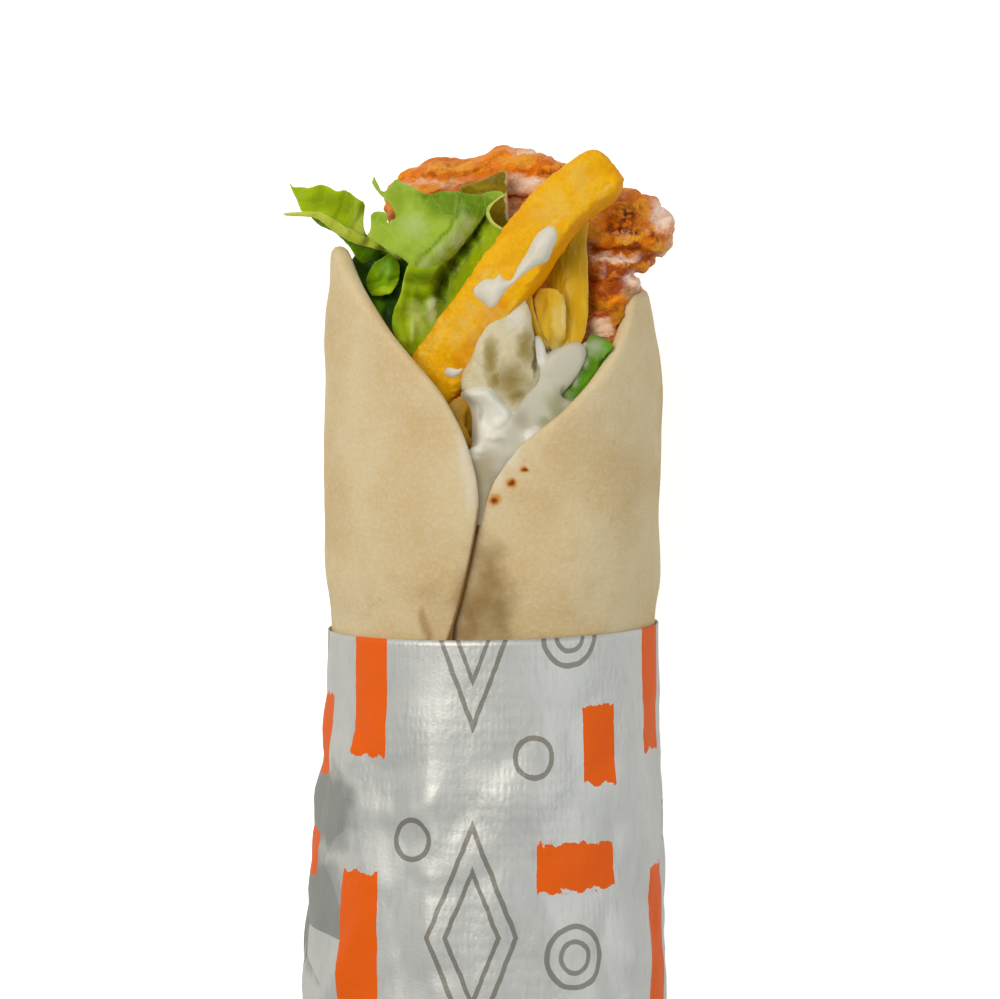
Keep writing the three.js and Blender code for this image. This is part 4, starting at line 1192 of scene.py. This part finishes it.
lip_finish = lettuce("green lettuce, rolled lip", "#bdcb3a", "#aabb26", "#dde394")
# The inside leaf's dark green is painted shade: it stands in the other leaves' shade.
dark_finish = lettuce("green lettuce, shaded leaf", "#2f5a05", "#234504", "#5b8c13", (
    # Painted light along the inside leaf's ridge.
    ((((-18.8, 52.6, 31), (0.8, 2.4, 5)),), 0.6, 0.85, "#6ba00a"),))
band_finish = lettuce("green lettuce, band under the lip", "#6a9605", "#4f7a04", "#8fb825")
lobe_finish = lettuce("green lettuce, folded lobe", "#82b00c", "#5f9006", "#a8cc34", (
    ((((-18.0, 55.4, 34), (3.2, 1.4, 5)),), 0.25, 0.9, "#b8dc18"),
    ((((-16.4, 59.0, 34), (1.0, 1.5, 5)),), 0.7, 0.6, "#7fbf2c")))
for leaf, node, finish in (
        (front_flap, "lettuce_front", back_finish), (front_face, "lettuce_front", face_finish),
        (front_lip, "lettuce_front", lip_finish), (left_frond, "lettuce_left", frond_finish),
        (left_lip, "lettuce_left", lip_finish), (left_band, "lettuce_left", band_finish),
        (inner_leaf, "lettuce_inner", dark_finish), (inner_lobe, "lettuce_inner", lobe_finish)):
    hand_over(leaf, node, finish)

# %% [markdown]
# ## Pickled pepper
# A slice of pickled yellow pepper curls round beside the fry: one limb goes down behind, the other stands
# up in front, and a thin tail lies along it. Its flesh is soft and wet and a little see-through, with
# ridges along it and a pale rim where it was cut. Each limb is cut as a thick sheet that bulges like the
# solid's strip.

# %% Pickled pepper
PEPPER_BACK = (
    (9.6, 67.6), (12.4, 68.8), (15.6, 67.2), (15.5, 63.4), (15.7, 59.8), (15.8, 56.9), (15.8, 53.7),
    (15.7, 51.3), (15.2, 48.9), (14.5, 46.9), (13.6, 45.6), (11.8, 45.1), (9.7, 45.5), (9.0, 47.2),
    (8.8, 49.7), (8.6, 53.7), (8.6, 56.9), (8.8, 61.4))
PEPPER_FRONT = (
    (6.8, 55.3), (7.2, 56.3), (8.4, 56.6), (9.5, 56.6), (10.6, 56.1), (11.6, 55.0), (12.1, 53.2),
    (12.1, 50.5), (11.9, 48.1), (11.6, 46.5), (10.8, 45.5), (9.5, 45.9), (8.4, 47.6), (7.6, 49.2),
    (6.8, 51.8), (6.4, 53.7))
PEPPER_TAIL = (
    (4.5, 55.2), (5.5, 55.9), (6.3, 55.4), (6.7, 53.7), (7.3, 51.3), (8.3, 48.9), (9.3, 46.3), (8.0, 46.5),
    (6.7, 48.3), (5.6, 50.5), (4.7, 52.9))
LOBE_RIDGE = (
    (7.6, 55.9), (8.8, 56.2), (10.1, 55.8), (11.2, 54.6), (11.6, 52.9), (11.6, 50.5), (11.3, 48.1))


def back_limb(x, y, inward):
    return 36.9 + 0.25 * (63 - y) + 1.0 * (1 - ((x - 12.8) / 3) ** 2) + 0.3 * min(inward, 0.6)


def front_limb(x, y, inward):
    foot = 0.6 * max(0, 48.5 - y)
    form = (0.9 * (1 - ((x - 9.2) / 2.9) ** 2) - 0.05 * max(0, y - 53) ** 2
            + 0.45 * bump(x, y, LOBE_RIDGE, 0.4))
    return 42.4 + form - foot - 0.5 * bump(x, y, ((8.4, 54.0), (9.0, 50.5), (9.7, 47)), 0.5)


def tail_limb(x, y, inward):
    return 42.8 + 0.8 * min(inward, 0.6) - 0.35 * max(0, 49.5 - y)


limbs = []
for name, corners, height, thickness in (
        ("back", PEPPER_BACK, back_limb, 1.6), ("front", PEPPER_FRONT, front_limb, 1.7),
        ("tail", PEPPER_TAIL, tail_limb, 0.8)):
    limb = sheet(name, corners, height, step=0.4)
    modify(limb, "SMOOTH", factor=0.5, iterations=3)
    modify(limb, "SOLIDIFY", thickness=thickness * MM, offset=-1)
    subdivide(limb, 1)
    limbs.append(limb)
pepper = joined("pepper_slice", limbs)
sculpt(pepper, lambda point, normal: 0.12 * lumpy(point, 2.4, 20))

pepper_finish, tree, shader, place = material("pickled yellow pepper", Roughness=0.25, IOR=1.42,
                                              Specular_IOR_Level=0.22)
shader.inputs["Subsurface Weight"].default_value = 0.2
shader.inputs["Subsurface Radius"].default_value = (1.0, 0.8, 0.1)
shader.inputs["Subsurface Scale"].default_value = 1.2 * MM
rim = add(tree, "ShaderNodeAttribute", attribute_name="rim").outputs["Fac"]
cut_rim = add(tree, "ShaderNodeMapRange", {0: rim, 1: 0.45, 2: 0.10}).outputs[0]
streaks = mottling(tree, place, 1.8, 0.44, 0.66, detail=4, stretch=(1.3, 0.22, 1))
bent = wobble(tree, place, 2.5, 0.5)
flesh = coats(
    tree, "#d9ab06",
    (times(tree, patches(tree, bent, (((12.6, 61.5, 39), (3, 3.5, 8)),), rim=0.6), 0.75), "#a98808"),
    (times(tree, patches(tree, bent, (((7.4, 53.6, 43), (1.1, 2.6, 6)),), rim=0.7), 0.6), "#d39504"),
    (times(tree, mottling(tree, place, 4, 0.45, 0.70), 0.35), "#c1950a"),
    # The flesh's pale middle, and painted light on the side of the fold that faces the light.
    (times(tree, patches(tree, bent, (((10.5, 50.6, 43), (0.9, 3.4, 6)), ((10.4, 46.8, 42), (2.0, 1.3, 6))),
                         rim=0.7), 0.70), "#e4cd78"),
    # Painted shade in the groove along the fold.
    (times(tree, patches(tree, bent, (((8.5, 53.0, 43), (0.35, 1.8, 6)), ((9.3, 49.0, 43), (0.35, 2.2, 6))),
                         rim=0.8), 0.55), "#ab7f06"),
    (times(tree, streaks, 0.35), "#e8c640"),
    (times(tree, patches(tree, bent, (((11.5, 52.4, 43), (0.4, 2.6, 6)),), rim=0.6), 0.55), "#ecdcae"),
    (times(tree, cut_rim, 0.60), "#ead98e"))
tree.links.new(flesh, shader.inputs["Base Color"])
relief(tree, shader, (streaks, 0.12))
hand_over(pepper, "pickled_pepper", pepper_finish)

# %% [markdown]
# ## Pickles
# Four pieces of pickled cucumber show: a wedge in the middle under a film of sauce, a green-skinned piece
# at the right edge, a dull one at the left, and a thin slice at the back. Brine softens and dulls them, so
# they sag a little and shine. Three are their solids' copies, smoothed and dented. The slice is cut as a
# sheet, because its corner is sharp.

# %% Pickle shapes
RIGHT_PICKLE_RISE = 0.8     # it is pushed up by the sauce under it
LEFT_PICKLE_REACH = 1.8
PICKLE_VOXEL = 0.30
pickles = {}
for which, dents in (("middle", 0.2), ("right", 0.3), ("left", 0.35)):
    pickle = copy_of("pickle_" + which, "pickle_" + which + "_piece")
    if which == "middle":
        subdivide(pickle, 3)    # a fine skin of voxels would take its thin tip off
    else:
        remesh(pickle, PICKLE_VOXEL, smoothing=6)
    sculpt(pickle, lambda point, normal: (dents * lumpy(point, 3.4, 18)
                                          + 0.4 * dents * lumpy(point, 1.5, 19)))
    pickles[which] = pickle
for vertex in pickles["right"].data.vertices:
    vertex.co.z += RIGHT_PICKLE_RISE * MM
for vertex in pickles["left"].data.vertices:        # it reaches in under the sauce
    vertex.co.x += LEFT_PICKLE_REACH * MM * smoothstep(in_roll(vertex.co).x, -6.5, -4.5)
for vertex in pickles["middle"].data.vertices:      # its sides are full, and its tip is drawn out
    point = in_roll(vertex.co)
    side = smoothstep(point.x, 0, 4) * smoothstep(point.y, 38, 42) * (1 - smoothstep(point.y, 51, 55))
    left = smoothstep(-point.x, 0, 3) * (smoothstep(point.y, 38.5, 40.5) - smoothstep(point.y, 42, 46))
    foot = smoothstep(-point.x, 0, 3) * (1 - smoothstep(point.y, 37, 39))
    vertex.co += Vector((1.2 * side - 0.9 * left + 2.0 * foot, 1.5 * smoothstep(point.y, 48, 55), 0)) * MM
SLICE = ((-5.4, 71.9), (-1.8, 73.4), (2.2, 75.0), (2.4, 71.6), (2.5, 66.0), (0.5, 61.5), (-4.0, 60.5),
         (-5.8, 66.5))
pickles["back"] = sheet("pickle_back_piece", SLICE,
                        lambda x, y, inward: 29.4 + 0.3 * lumpy(Vector((x, y, 0)), 3, 21), step=0.4)
modify(pickles["back"], "SOLIDIFY", thickness=2.4 * MM, offset=-1)
subdivide(pickles["back"], 1)


# %% [markdown]
# Pickled cucumber is translucent olive flesh under a darker green skin. Sauce clings to it as a white film,
# which shows on the middle and the right piece, thick in some places and wiped off in others.

# %% Pickled cucumber
def cucumber(name, ground, cloud, parts, roughness=0.3):
    """A pickle's finish: its ground colour, its clouds, and placed parts such as skin, sauce or painted
    shadow.
    """
    finish, tree, shader, place = material(name, Roughness=roughness, IOR=1.42, Specular_IOR_Level=0.2)
    shader.inputs["Subsurface Weight"].default_value = 0.2
    shader.inputs["Subsurface Radius"].default_value = (0.9, 1.0, 0.2)
    shader.inputs["Subsurface Scale"].default_value = 1.0 * MM
    bent = wobble(tree, place, 2.0, 0.5)
    clouds = mottling(tree, place, 3.2, 0.4, 0.68, detail=4)
    specks = mottling(tree, place, 0.9, 0.55, 0.72, detail=4)
    layers = [(times(tree, clouds, 0.6), cloud)]
    for places, softness, share, colour in parts:
        layers.append((times(tree, patches(tree, bent, places, rim=softness), share), colour))
    layers.append((times(tree, specks, 0.15), cloud))
    tree.links.new(coats(tree, ground, *layers), shader.inputs["Base Color"])
    relief(tree, shader, (clouds, 0.15), (specks, 0.06))
    return finish


WIPED = (
    ((-0.4, 45.0, 45.5), (0.9, 3.0, 6)), ((5.3, 47.0, 45), (1.2, 2.8, 6)),
    ((2.9, 41.4, 45.5), (2.2, 2.6, 6)), ((3.8, 39.2, 45.5), (1.4, 1.6, 6)),
    ((0.4, 41.6, 45.5), (1.0, 1.2, 6)))
# Painted shadow: the dark slit where the wedge's right side shades the sauce beside it.
SLIT = (((6.9, 44.6, 44), (0.5, 2.4, 6)), ((7.0, 47.6, 44), (0.35, 1.2, 6)))
finishes = {
    "middle": cucumber("pickled cucumber under sauce", "#dcd3b0", "#c6b988", (
        (WIPED, 0.9, 0.92, "#957f3a"), ((((3.8, 51.6, 46), (1.6, 2.0, 6)),), 0.8, 0.7, "#e8e4d6"),
        (SLIT, 0.6, 0.9, "#5d4c1e"))),
    "right": cucumber("pickled cucumber with skin", "#5f8d0c", "#3f6f06", (
        ((((10.2, 36.6, 41), (3.0, 2.6, 8)),), 0.6, 0.70, "#9da180"),
        ((((14.4, 43.4, 42), (0.9, 3.0, 6)), ((17.6, 43.4, 42), (0.5, 1.6, 6))), 0.9, 0.65, "#38540a"),
        ((((16.4, 46.8, 42), (1.7, 1.2, 6)), ((15.0, 44.4, 43), (0.5, 1.0, 6)),
          ((13.2, 41.6, 43), (0.6, 1.2, 6))), 0.9, 0.70, "#b4bc9c"),
        ((((18.6, 45.4, 41), (0.9, 3.0, 6)), ((15.4, 40.2, 41.5), (1.5, 2.2, 6))), 0.7, 0.8, "#6aac0c"))),
    "left": cucumber("pickled cucumber, dull", "#d2a12a", "#ab8016", (
        ((((-6.0, 36.2, 43), (1.4, 1.6, 6)),), 0.8, 0.5, "#bfa24a"),)),
    "back": cucumber("pickled cucumber, thin slice", "#8f7d06", "#6b5604", (
        ((((2.4, 70.8, 29), (0.4, 6, 4)),), 0.5, 0.8, "#dccf9c"),
        ((((-1.6, 72.4, 29), (3, 0.4, 4)),), 0.7, 0.6, "#b09a24"))),
}
for which, pickle in pickles.items():
    hand_over(pickle, "pickle_" + which, finishes[which])

# %% [markdown]
# ## Chicken
# The chicken is shaved off a spit: each piece has a seared, orange-brown outside and pale, fibrous meat
# inside. The solid fuses the pieces to one core. Its copy is cut in two: the part in the mouth is remeshed
# finely, and ridged noise that is drawn out along the fibres gives the torn look. The core below stays
# plain, because nobody sees it.

# %% Chicken
CHICKEN_VOXEL = 0.38        # keeps the piece under 200,000 triangles
CUT_AT = 12                 # below this the core stays plain


def half_of(name, upper):
    """The chicken above or below the cut, closed."""
    piece = copy_of("chicken", name)
    bpy.ops.object.mode_set(mode="EDIT")
    bpy.ops.mesh.select_all(action="SELECT")
    bpy.ops.mesh.bisect(plane_co=roll(0, CUT_AT, 0), plane_no=(0, 1, 0), use_fill=True, clear_inner=upper,
                        clear_outer=not upper)
    bpy.ops.object.mode_set(mode="OBJECT")
    return piece


TORN = (
    # Lines between the layers of meat on the right lump and the back piece, each with its rise and width.
    (((14.6, 62.6), (17.0, 61.7), (20.0, 61.8), (23.6, 61.6), (27.4, 60.4)), -1.3, 0.6),
    (((15.4, 60.8), (19.6, 60.6), (23.4, 60.8)), 0.7, 0.5),
    (((15.2, 57.4), (19.5, 57.0), (23.6, 58.2)), -0.9, 0.6),
    (((24.0, 70.8), (24.8, 66.6), (27.8, 63.6)), -0.6, 0.6), (((16.4, 52.6), (20.4, 52.8)), -0.8, 0.6),
    (((17.2, 68.8), (19.0, 66.0), (18.4, 63.4)), -0.6, 0.6),
    (((-4.0, 70.0), (2.0, 70.3), (8.0, 70.6)), -0.9, 0.5),
    (((-17.0, 73.2), (-8.0, 73.6), (0.0, 74.4), (8.0, 74.2)), -0.6, 0.5),
    (((-12.0, 75.2), (-2.0, 76.0), (4.0, 77.4)), -0.3, 0.5))


def chicken_height(point, normal):
    if point.y < 44:
        return smoothstep(point.y, 20, 32) * 0.5 * lumpy(point, 5, 22)
    slant = Vector((point.x + 0.35 * point.y, point.y - 0.35 * point.x, point.z))
    along_fibres = Vector((slant.x / 7, slant.y / 1.4, slant.z / 3))
    fibres = 0.8 * abs(noise.noise(along_fibres)) + 0.3 * abs(noise.noise(along_fibres * 2.2))
    crust = 0.9 * abs(lumpy(point, 2.6, 25)) + 0.4 * abs(lumpy(point, 1.2, 24)) - 0.3
    layers = sum(rise * bump(point.x, point.y, line, width) for line, rise, width in TORN)
    return 0.7 * lumpy(point, 4.2, 22) + layers + (crust if point.x > 13 and point.y > 61 else fibres)


torn_meat = half_of("torn_meat", True)
remesh(torn_meat, CHICKEN_VOXEL, smoothing=3)
sculpt(torn_meat, chicken_height)
chicken = joined("chicken_pieces", [torn_meat, half_of("core", False)])
print("chicken of", len(chicken.data.polygons), "faces")

# %% [markdown]
# Spit-roasted chicken: the seared skin is orange with paprika and fat and shines a little, char spots are
# dark brown and dry, and the torn meat is pale pink-beige. The crust's orange lies on what faced the fire,
# so its patches are placed, with noise to tear their rims, and brown runs along the fibres. Its golden
# patches are partly golden crust and partly painted highlights.

# %% Spit-roasted chicken
ORANGE = (
    ((17.4, 65.6, 35), (2.4, 2.4, 8)), ((24.2, 69.4, 34), (1.6, 2.2, 8)), ((21, 63.4, 35), (5, 1.5, 8)),
    ((26.4, 63.2, 33), (2.2, 2.4, 8)), ((19.5, 69.8, 34), (2.4, 1.2, 8)), ((18.6, 53.6, 36), (3.2, 1.0, 7)),
    ((20.4, 47.6, 38), (1.4, 1.6, 5)), ((20.8, 51.4, 36), (1.6, 1.6, 6)), ((-11, 74.9, 22), (10, 1.3, 9)),
    ((3.4, 76.4, 24), (5.5, 1.5, 9)), ((8.4, 75.2, 24), (3.0, 1.4, 9)), ((-3.5, 75.2, 23), (4, 1.0, 9)))
# Golden crust, and painted highlights on it.
GOLD = (
    ((16.6, 65.4, 35), (1.8, 1.5, 8)), ((24.6, 68.8, 35), (0.9, 1.6, 8)), ((4.2, 76.6, 24), (3.0, 0.8, 9)),
    ((27.2, 62.4, 33), (1.0, 0.9, 8)), ((21.6, 63.8, 35), (1.8, 0.5, 8)), ((-7.0, 75.4, 23), (4.2, 0.6, 9)))
BROWN = (
    ((19.5, 58.9, 35), (4.0, 0.9, 8)), ((16.4, 56.6, 36), (1.4, 2.0, 7)), ((18.2, 54.9, 36), (1.6, 0.7, 7)),
    ((25.2, 60.6, 34), (1.8, 0.7, 7)), ((3.6, 70.4, 24), (3.8, 0.35, 8)), ((17.8, 62.1, 36), (3.4, 0.4, 7)),
    ((10.0, 74.4, 24), (1.8, 0.6, 8)), ((25.9, 64.1, 34), (0.8, 0.7, 8)), ((17.4, 51.8, 36), (2.0, 0.7, 6)),
    ((22.3, 62.6, 35), (1.6, 0.8, 7)), ((19.8, 56.2, 36), (2.2, 1.2, 7)), ((18.2, 52.9, 36), (2.0, 0.8, 6)))
CHAR = (
    ((21.6, 67.4, 35), (2.0, 1.6, 7)), ((20.6, 65.4, 35), (1.4, 0.8, 7)), ((22.8, 65.0, 36), (1.0, 0.7, 7)))
PALE = (
    ((27.6, 67.4, 32), (2.2, 3.2, 9)), ((19.6, 60.7, 36), (4.6, 0.6, 7)), ((15.4, 62.8, 36), (1.2, 1.4, 7)),
    ((18.4, 70.8, 34), (2.6, 0.9, 7)), ((20.4, 64.6, 36), (2.6, 0.4, 7)), ((28.8, 60.6, 31), (1.0, 2.4, 9)),
    ((17.9, 58.8, 36), (0.5, 0.9, 7)), ((22.6, 56.6, 35), (2.0, 2.0, 8)), ((18.0, 49.4, 38), (2.6, 1.8, 6)),
    ((4.8, 72.6, 24), (3.6, 1.7, 8)), ((3.4, 68.0, 25), (3.8, 1.8, 8)), ((6.4, 78.2, 21), (3.6, 0.5, 8)),
    ((-10, 73.0, 23), (5, 0.45, 8)))
AMBER = (
    ((20.7, 51.4, 36), (1.9, 1.9, 6)), ((17.6, 53.4, 36), (2.0, 0.7, 6)), ((22.6, 55.2, 35), (1.4, 1.0, 6)))
FIBRE_SLANT = 0.34
FLUSHED = (((3.6, 69.6, 24), (4.2, 3.4, 8)), ((-9, 73.0, 23), (7, 1.2, 8)))

chicken_finish, tree, shader, place = material("spit-roasted chicken", Roughness=0.32, IOR=1.42,
                                               Specular_IOR_Level=0.16)
shader.inputs["Subsurface Weight"].default_value = 0.1
shader.inputs["Subsurface Radius"].default_value = (1.0, 0.4, 0.1)
shader.inputs["Subsurface Scale"].default_value = 0.8 * MM
ragged = wobble(tree, wobble(tree, place, 2.2, 0.9), 0.8, 0.35)
slanted = add(tree, "ShaderNodeMapping", {"Vector": place, "Rotation": (0, 0, -FIBRE_SLANT)}).outputs[0]
streaks = mottling(tree, slanted, 2.2, 0.44, 0.58, detail=5, stretch=(0.22, 1.3, 0.6))
seared = mottling(tree, place, 2.0, 0.52, 0.60, detail=5)
scorched = mottling(tree, place, 0.9, 0.42, 0.54, detail=5)
pale_meat = patches(tree, ragged, PALE, rim=0.5)
orange_crust = patches(tree, ragged, ORANGE, rim=0.5)
meat = coats(
    tree, "#f69a2c",
    (times(tree, streaks, 0.55), "#d05800"),
    (times(tree, pale_meat, 0.90), "#ffeada"),
    (times(tree, times(tree, pale_meat, streaks), 0.45), "#eaa254"),
    (times(tree, patches(tree, ragged, FLUSHED, rim=0.6), 0.65), "#f8a566"),
    (times(tree, orange_crust, 0.90), "#ff9a0c"),
    (times(tree, times(tree, orange_crust, streaks), 0.50), "#dc5200"),
    (times(tree, times(tree, seared, orange_crust), 0.45), "#a82c00"),
    (times(tree, patches(tree, ragged, GOLD, rim=0.8), 0.80), "#ffb63a"),
    (times(tree, patches(tree, ragged, BROWN, rim=0.6), 0.80), "#8c2000"),
    (times(tree, patches(tree, ragged, AMBER, rim=0.7), 0.75), "#b47a0c"),
    (times(tree, times(tree, patches(tree, ragged, CHAR, rim=0.9), scorched), 0.92), "#45100c"))
tree.links.new(meat, shader.inputs["Base Color"])
relief(tree, shader, (streaks, 0.15), (scorched, 0.10))
hand_over(chicken, "chicken", chicken_finish)

# %% [markdown]
# ## Garlic sauce in the mouth
# Behind the V the sauce fills what the pickles leave: a bright dollop with a peak, a smooth slope to the
# right, and a thin smear down to the seam. The solid has the mass of it, which is remeshed and settled a
# little. The slope is a sheet filled below. The dollop, a small fold beside the pepper and a blob are poured
# over both, and one last remesh joins them.

# %% Garlic sauce
SLOPE = (
    (15.7, 47.8), (13.6, 46.6), (11.7, 45.9), (9.5, 45.6), (8.5, 43.8), (7.1, 42.7), (6.7, 40.9),
    (5.5, 39.6), (4.3, 37.7), (3.0, 36.0), (1.0, 34.2), (-0.8, 32.0), (-3.6, 30.6), (-4.8, 28.4),
    (-4.2, 24.8), (-3.6, 21.6), (-2.9, 18.6), (-1.7, 18.6), (-0.9, 22.0), (-0.1, 24.8), (1.5, 27.0),
    (3.1, 29.1), (6.0, 30.9), (8.8, 32.8), (11.1, 35.0), (13.3, 37.6), (10.9, 39.2), (13.2, 43.4),
    (15.2, 46.2))
DOLLOP = (
    (-5.2, 39.2), (-4.6, 40.1), (-3.2, 40.6), (-0.5, 40.5), (1.1, 38.8), (2.4, 37.4), (3.2, 36.3),
    (2.7, 34.8), (0.6, 32.9), (-1.0, 31.3), (-2.6, 30.0), (-3.5, 30.8), (-3.4, 32.9), (-3.4, 35.6),
    (-4.0, 37.4), (-5.0, 38.5))
SMALL_FOLD = ((6.6, 48.4), (7.6, 48.4), (8.4, 46.8), (8.6, 45.4), (8.4, 43.8), (7.0, 43.7), (6.4, 46.0))
BLOB = ((4.6, 33.2), (5.9, 34.1), (7.7, 34.1), (7.6, 32.7), (5.9, 31.4), (4.8, 31.6))
SETTLED = 44.3              # the mass is lowered above this height
BARED_DROP = 6              # on its left it goes down by this, so that the left pickle shows
SAUCE_DEPTH = 3
MASS_VOXEL, SAUCE_VOXEL = 0.36, 0.26


def dollop_folds(x, y):
    crest = bump(x, y, ((-4.0, 39.2), (-1.2, 39.4), (0.8, 37.8), (2.6, 36.0)), 0.9)
    lower = bump(x, y, ((0.8, 34.6), (-1.0, 32.6), (-2.6, 31.0)), 0.8)
    dimple = bump(x, y, ((-2.0, 37.2), (-1.4, 35.2)), 0.8)
    return 0.4 * crest + 0.5 * lower - 0.3 * dimple


def slope_height(x, y, inward):
    level = min(43.6 + 0.36 * (45.5 - y), 49.3) - 0.9 * smoothstep(y, 42, 47)
    return level - 0.5 * (1 - min(inward / 1.2, 1)) ** 2 + 0.25 * lumpy(Vector((x, y, 0)), 5, 27)


mass = copy_of("garlic_sauce", "garlic_sauce_skin")
remesh(mass, MASS_VOXEL, smoothing=16)
for vertex in mass.data.vertices:
    point = in_roll(vertex.co)
    bared = (smoothstep(-point.x, 2.4, 3.3) * smoothstep(point.y, 29, 31)
             * (1 - smoothstep(point.y, 37.5, 38.5)))
    vertex.co.z -= (0.6 * max(0, point.z - SETTLED) + BARED_DROP * bared) * MM
mass.data.update()
slope = sheet("slope", SLOPE, slope_height)
laid = [mass, filled_below(slope, SAUCE_DEPTH)]
for name, corners, thickness, rounding, shape in (
        ("dollop", DOLLOP, 1.6, 1.3, dollop_folds), ("fold", SMALL_FOLD, 0.8, 0.9, None),
        ("blob", BLOB, 0.6, 1.0, None)):
    laid.append(poured(name, corners, [mass, slope, pickles["middle"]], thickness, rounding, drape=10,
                       lowest=43.5, step=0.35, shape=shape, depth=SAUCE_DEPTH))
sauce = joined("garlic_sauce_skin", laid)
remesh(sauce, SAUCE_VOXEL, smoothing=4)
sauce_finish = garlic_sauce("garlic sauce, spread", "#cac8b5", "#b9b59f", 0.4, (
    ((((-1.6, 26.4, 48), (2.6, 4.0, 6)), ((-2.0, 21.6, 48), (2.0, 4.0, 6))), 0.9, 0.80, "#a89874"),
    ((((10.4, 37.2, 46), (1.5, 2.6, 5)), ((8.6, 34.7, 46), (1.4, 1.0, 5))), 0.8, 0.75, "#8f9468"),
    # Painted shade in the fold between the dollop and the stream.
    ((((4.6, 35.2, 46), (1.2, 1.6, 5)),), 0.7, 0.5, "#97927a"),
    # Brighter white where the sauce is thick, and painted light over the dollop's shaded lower-left tail.
    ((((-1.6, 36.0, 46), (3.6, 5.2, 6)), ((-3.0, 32.4, 46), (1.6, 3.2, 6)),
      ((0.8, 36.4, 46), (2.2, 2.2, 6)), ((7.5, 46.2, 45), (1.1, 2.6, 5)),
      ((6.2, 32.8, 46), (1.4, 1.1, 5))), 0.5, 0.92, "#efeee2"),
    # Painted shadow under the dollop and in its folds.
    ((((-1.9, 36.2, 46), (0.5, 1.2, 6)), ((-2.0, 29.9, 46), (1.2, 0.4, 5)),
      ((0.6, 32.0, 46), (1.4, 0.4, 5))), 0.8, 0.60, "#a5a08a")))
hand_over(sauce, "garlic_sauce", sauce_finish)
